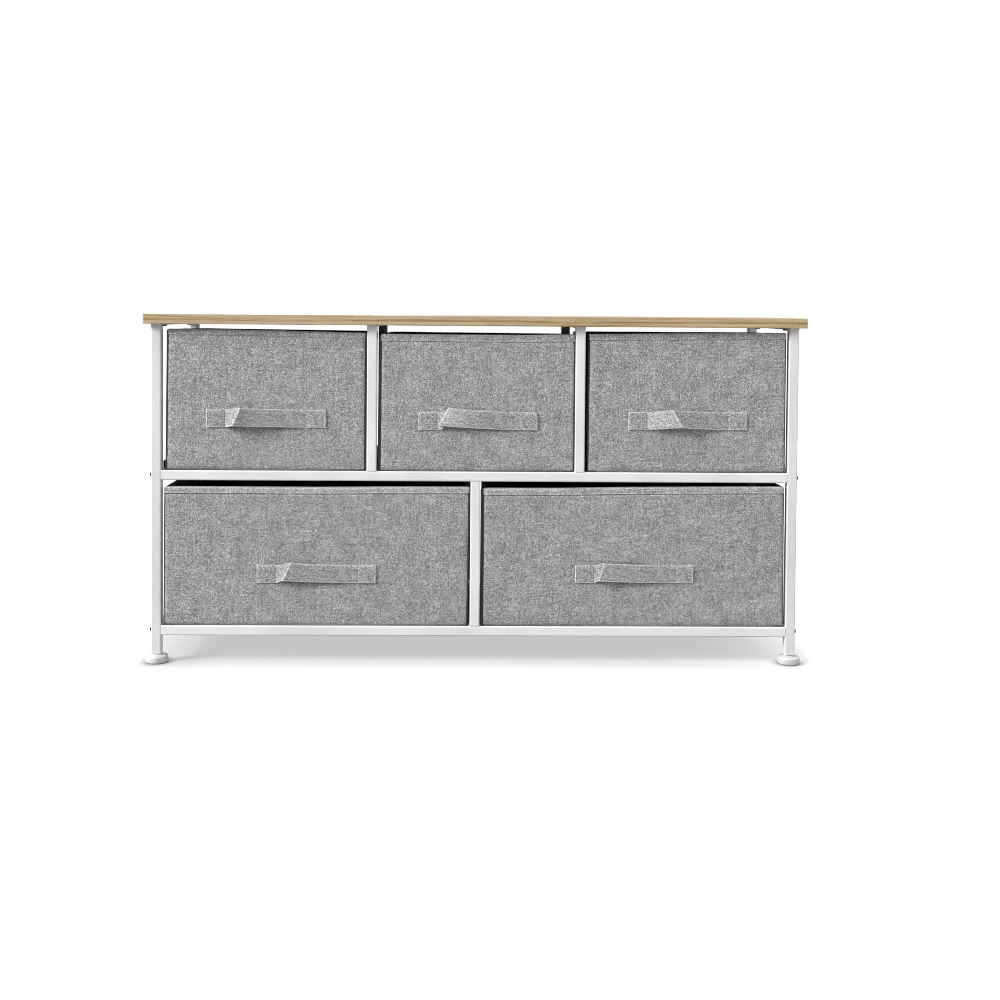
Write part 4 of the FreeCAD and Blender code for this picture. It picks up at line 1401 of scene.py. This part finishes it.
    def sew_strap(self, low: Vector, high: Vector, y: float) -> None:
        """The box of stitches, with one diagonal, at each end of the strap.

        Args:
            low: The strap's lowest corner.
            high: The strap's highest corner.
            y: The depth that the stitches lie at.
        """
        rows = []
        bottom, top = low.z + self.seam_inset, high.z - self.seam_inset
        for start, end in ((low.x, low.x + self.pad_length), (high.x - self.pad_length, high.x)):
            start, end = start + self.seam_inset, end - self.seam_inset
            box = [Vector((x, y, z)) for x, z in (
                (start, bottom), (end, bottom), (end, top), (start, top), (start, bottom))]
            rows += [(line, Vector((0, -1, 0))) for line in (box, [box[0], box[2]])]
        self.sew("strap_stitches", self.finishes.grey_thread, self.strap_stitch, rows)


# ---------------------------------------------------------------------------
# Studio
# ---------------------------------------------------------------------------
def directly_seen(tree: Tree) -> Socket:
    """Tells rays that show a surface to the eye from those that only light others.

    Args:
        tree: The node tree to add to.

    Returns:
        1 for camera, glossy and transmission rays, and 0 for the others.
    """
    path = add_node(tree, "LightPath")
    seen = path.outputs["Is Camera Ray"]
    for kind in ("Is Glossy Ray", "Is Transmission Ray"):
        seen = add_node(tree, "Math", {0: seen, 1: path.outputs[kind]},
                        operation="MAXIMUM").outputs[0]
    return seen


@dataclass
class Studio:
    """A pale floor, a white surround, soft lamps and the camera."""

    sensor_mm: float = 36.0
    image_side: float = 1000.0
    focal_pixels: float = 1225.85
    centre_x: float = 480.53
    centre_y: float = 345.26
    position: Point = (-0.0273, -1.9912, 0.5384)
    yaw: float = -0.01799
    pitch: float = -0.02886
    roll: float = 0.00763
    clip_end: float = 100.0
    pixel_filter: float = 1.0
    floor_half: float = 12.0
    floor_colour: str = "898989"
    floor_lift: float = 0.545       # how strongly the floor glows under the dresser, where the lower glow is painted shade
    shade_centre: float = -0.06
    shade_ends: Pair = (0.3, 0.85)  # where the painted shade thins out sideways
    shade_sides: Pair = (0.49, 0.54)  # where it stops beside the legs
    shade_front: Pair = (0.13, 0.22)  # and before and behind them
    lit_end: Pair = (-0.37, -0.46)  # where the key light falls under it
    lit_drop: float = 0.12          # how much less the floor glows there: painted shade over the patch that the key light reaches
    lit_limit: float = 0.8          # the lift above which the floor keeps all of it
    open_reach: float = 0.25        # how far a drawer over the floor cuts its glow, as painted shade
    open_cover: Pair = (0.06, 0.5)  # the open share at which it is shaded fully, and not at all
    # Painted contact shade round the feet: ambient occlusion over this reach, raised to this power,
    # cuts the glow.
    contact_reach: float = 0.014
    contact_power: float = 2.0
    cover_samples: int = 3
    ambient: float = 0.205
    aim: Point = (0.0, 0.0, 0.3)    # the point that every lamp faces
    lamps: tuple[tuple[str, Point, float, float], ...] = (  # name, place, side and watts
        ("key", (-7.95, -3.61, 5.17), 3.5, 1500.0), ("top", (0.2, -1.0, 3.6), 2.6, 31.0),
        ("fill", (4.0, -2.4, 1.2), 2.0, 74.0), ("back", (-1.5, 4.0, 2.2), 2.4, 80.0))

    def place_camera(self) -> None:
        """Stands the camera in front of the dresser, just above the board."""
        right = Vector((math.cos(self.yaw), math.sin(self.yaw), 0))
        forward = Vector((-math.sin(self.yaw) * math.cos(self.pitch),
                          math.cos(self.yaw) * math.cos(self.pitch), math.sin(self.pitch)))
        up = right.cross(forward)
        turn = Matrix.Rotation(-self.roll, 3, forward)
        right, up = turn @ right, turn @ up
        data = bpy.data.cameras.new("camera")
        data.sensor_fit = "HORIZONTAL"
        data.sensor_width = self.sensor_mm
        data.lens = self.focal_pixels * self.sensor_mm / self.image_side
        data.shift_x = 0.5 - self.centre_x / self.image_side
        data.shift_y = self.centre_y / self.image_side - 0.5
        data.clip_end = self.clip_end
        camera = bpy.data.objects.new("camera", data)
        bpy.context.scene.collection.objects.link(camera)
        axes = Matrix((right, up, -forward)).transposed()
        camera.matrix_world = Matrix.Translation(self.position) @ axes.to_4x4()
        bpy.context.scene.camera = camera

    def floor_shade(self, tree: Tree) -> Socket:
        """How strongly each place of the floor glows towards white, with the glow cut back as
        painted shade under the dresser, round its feet and under open drawers.

        Args:
            tree: The floor's node tree.

        Returns:
            The lift, which falls to floor_lift as painted shade under the dresser.
        """
        place = add_node(tree, "SeparateXYZ", {
            "Vector": add_node(tree, "TexCoord").outputs["Object"]}).outputs
        shifted = add_node(tree, "Math", {0: place["X"], 1: self.shade_centre},
                           operation="SUBTRACT").outputs[0]
        lift = None
        for value, (near, far) in ((shifted, self.shade_ends), (place["X"], self.shade_sides),
                                   (place["Y"], self.shade_front)):
            away = add_node(tree, "Math", {0: value}, operation="ABSOLUTE")
            side = add_node(tree, "MapRange", {
                "Value": away.outputs[0], "From Min": near, "From Max": far,
                "To Min": self.floor_lift}, interpolation_type="SMOOTHSTEP").outputs[0]
            lift = side if lift is None else add_node(
                tree, "Math", {0: lift, 1: side}, operation="MAXIMUM").outputs[0]
        near, far = self.lit_end
        lit = add_node(tree, "MapRange", {"Value": place["X"], "From Min": near, "From Max": far,
                                          "To Max": self.lit_drop},
                       interpolation_type="SMOOTHSTEP")
        room = add_node(tree, "MapRange", {"Value": lift, "From Min": self.floor_lift,
                                           "From Max": self.lit_limit, "To Min": 1.0,
                                           "To Max": 0.0})
        drop = add_node(tree, "Math", {0: lit.outputs[0], 1: room.outputs[0]},
                        operation="MULTIPLY")
        around, below = [add_node(tree, "AmbientOcclusion", {"Distance": reach},
                                  samples=self.cover_samples).outputs["AO"]
                         for reach in (self.open_reach, self.contact_reach)]
        near, far = self.open_cover
        cover = add_node(tree, "MapRange", {"Value": around, "From Min": near, "From Max": far,
                                            "To Min": self.floor_lift})
        contact = add_node(tree, "Math", {0: below, 1: self.contact_power}, operation="POWER")
        for operation, change in (("SUBTRACT", drop), ("MINIMUM", cover),
                                  ("MULTIPLY", contact)):
            lift = add_node(tree, "Math", {0: lift, 1: change.outputs[0]},
                            operation=operation).outputs[0]
        return lift

    def lay_floor(self) -> None:
        """Lays a pale floor that reads as white to the eye, keeps shadows, and shows painted shade
        where its glow is cut back.
        """
        half = self.floor_half
        mesh = bpy.data.meshes.new("studio_floor")
        mesh.from_pydata([(-half, -half, 0), (half, -half, 0), (half, half, 0), (-half, half, 0)],
                         [], [(0, 1, 2, 3)])
        material = bpy.data.materials.new("studio_floor")
        tree = empty_tree(material)
        strength = add_node(tree, "Math", {0: directly_seen(tree), 1: self.floor_shade(tree)},
                            operation="MULTIPLY")
        matt = add_node(tree, "BsdfDiffuse", {"Color": linear(self.floor_colour)})
        glow = add_node(tree, "Emission", {"Color": (1, 1, 1, 1), "Strength": strength.outputs[0]})
        both = add_node(tree, "AddShader", {0: matt.outputs[0], 1: glow.outputs[0]})
        add_node(tree, "OutputMaterial", {"Surface": both.outputs[0]})
        mesh.materials.append(material)
        floor = bpy.data.objects.new("studio_floor", mesh)
        bpy.context.scene.collection.objects.link(floor)

    def surround(self) -> None:
        """A white surround for the eye, and a softer one that lights the dresser."""
        world = bpy.data.worlds.new("studio")
        tree = empty_tree(world)
        strength = add_node(tree, "MapRange", {"Value": directly_seen(tree),
                                               "To Min": self.ambient, "To Max": 1.0})
        back = add_node(tree, "Background", {"Color": (1, 1, 1, 1),
                                             "Strength": strength.outputs[0]})
        add_node(tree, "OutputWorld", {"Surface": back.outputs[0]})
        bpy.context.scene.world = world

    def hang_lamp(self, name: str, place: Point, side: float, power: float) -> None:
        """Hangs one square soft lamp.

        Args:
            name: The lamp's name.
            place: Where it hangs.
            side: Length of its side.
            power: Its power in watts.
        """
        data = bpy.data.lights.new(name, "AREA")
        data.shape = "SQUARE"
        data.size = side
        data.energy = power
        lamp = bpy.data.objects.new(name, data)
        bpy.context.scene.collection.objects.link(lamp)
        lamp.location = place
        facing = Vector(self.aim) - Vector(place)
        lamp.rotation_euler = facing.to_track_quat("-Z", "Y").to_euler()

    def build(self) -> None:
        """Sets up the whole studio."""
        self.place_camera()
        self.lay_floor()
        self.surround()
        for lamp in self.lamps:
            self.hang_lamp(*lamp)
        bpy.context.scene.view_settings.view_transform = "Standard"
        bpy.context.scene.cycles.filter_width = self.pixel_filter
        LOG.info("studio: camera, floor, surround and %d lamps", len(self.lamps))


def main() -> None:
    """Builds the studio and the dresser, piece by piece."""
    logging.basicConfig(level=logging.INFO, format="%(name)s %(message)s")
    Studio().build()
    finishes = Finishes()
    Carcass(finishes).build()
    for end in ("front", "rear"):
        for side in ("left", "right"):
            LevellingFoot(f"{end}_{side}_foot", finishes.glide).build()
    for seed, name in enumerate(SewnDrawer.__members__, start=1):
        Drawer(name, finishes, seed).build()


if __name__ == "__main__":
    main()
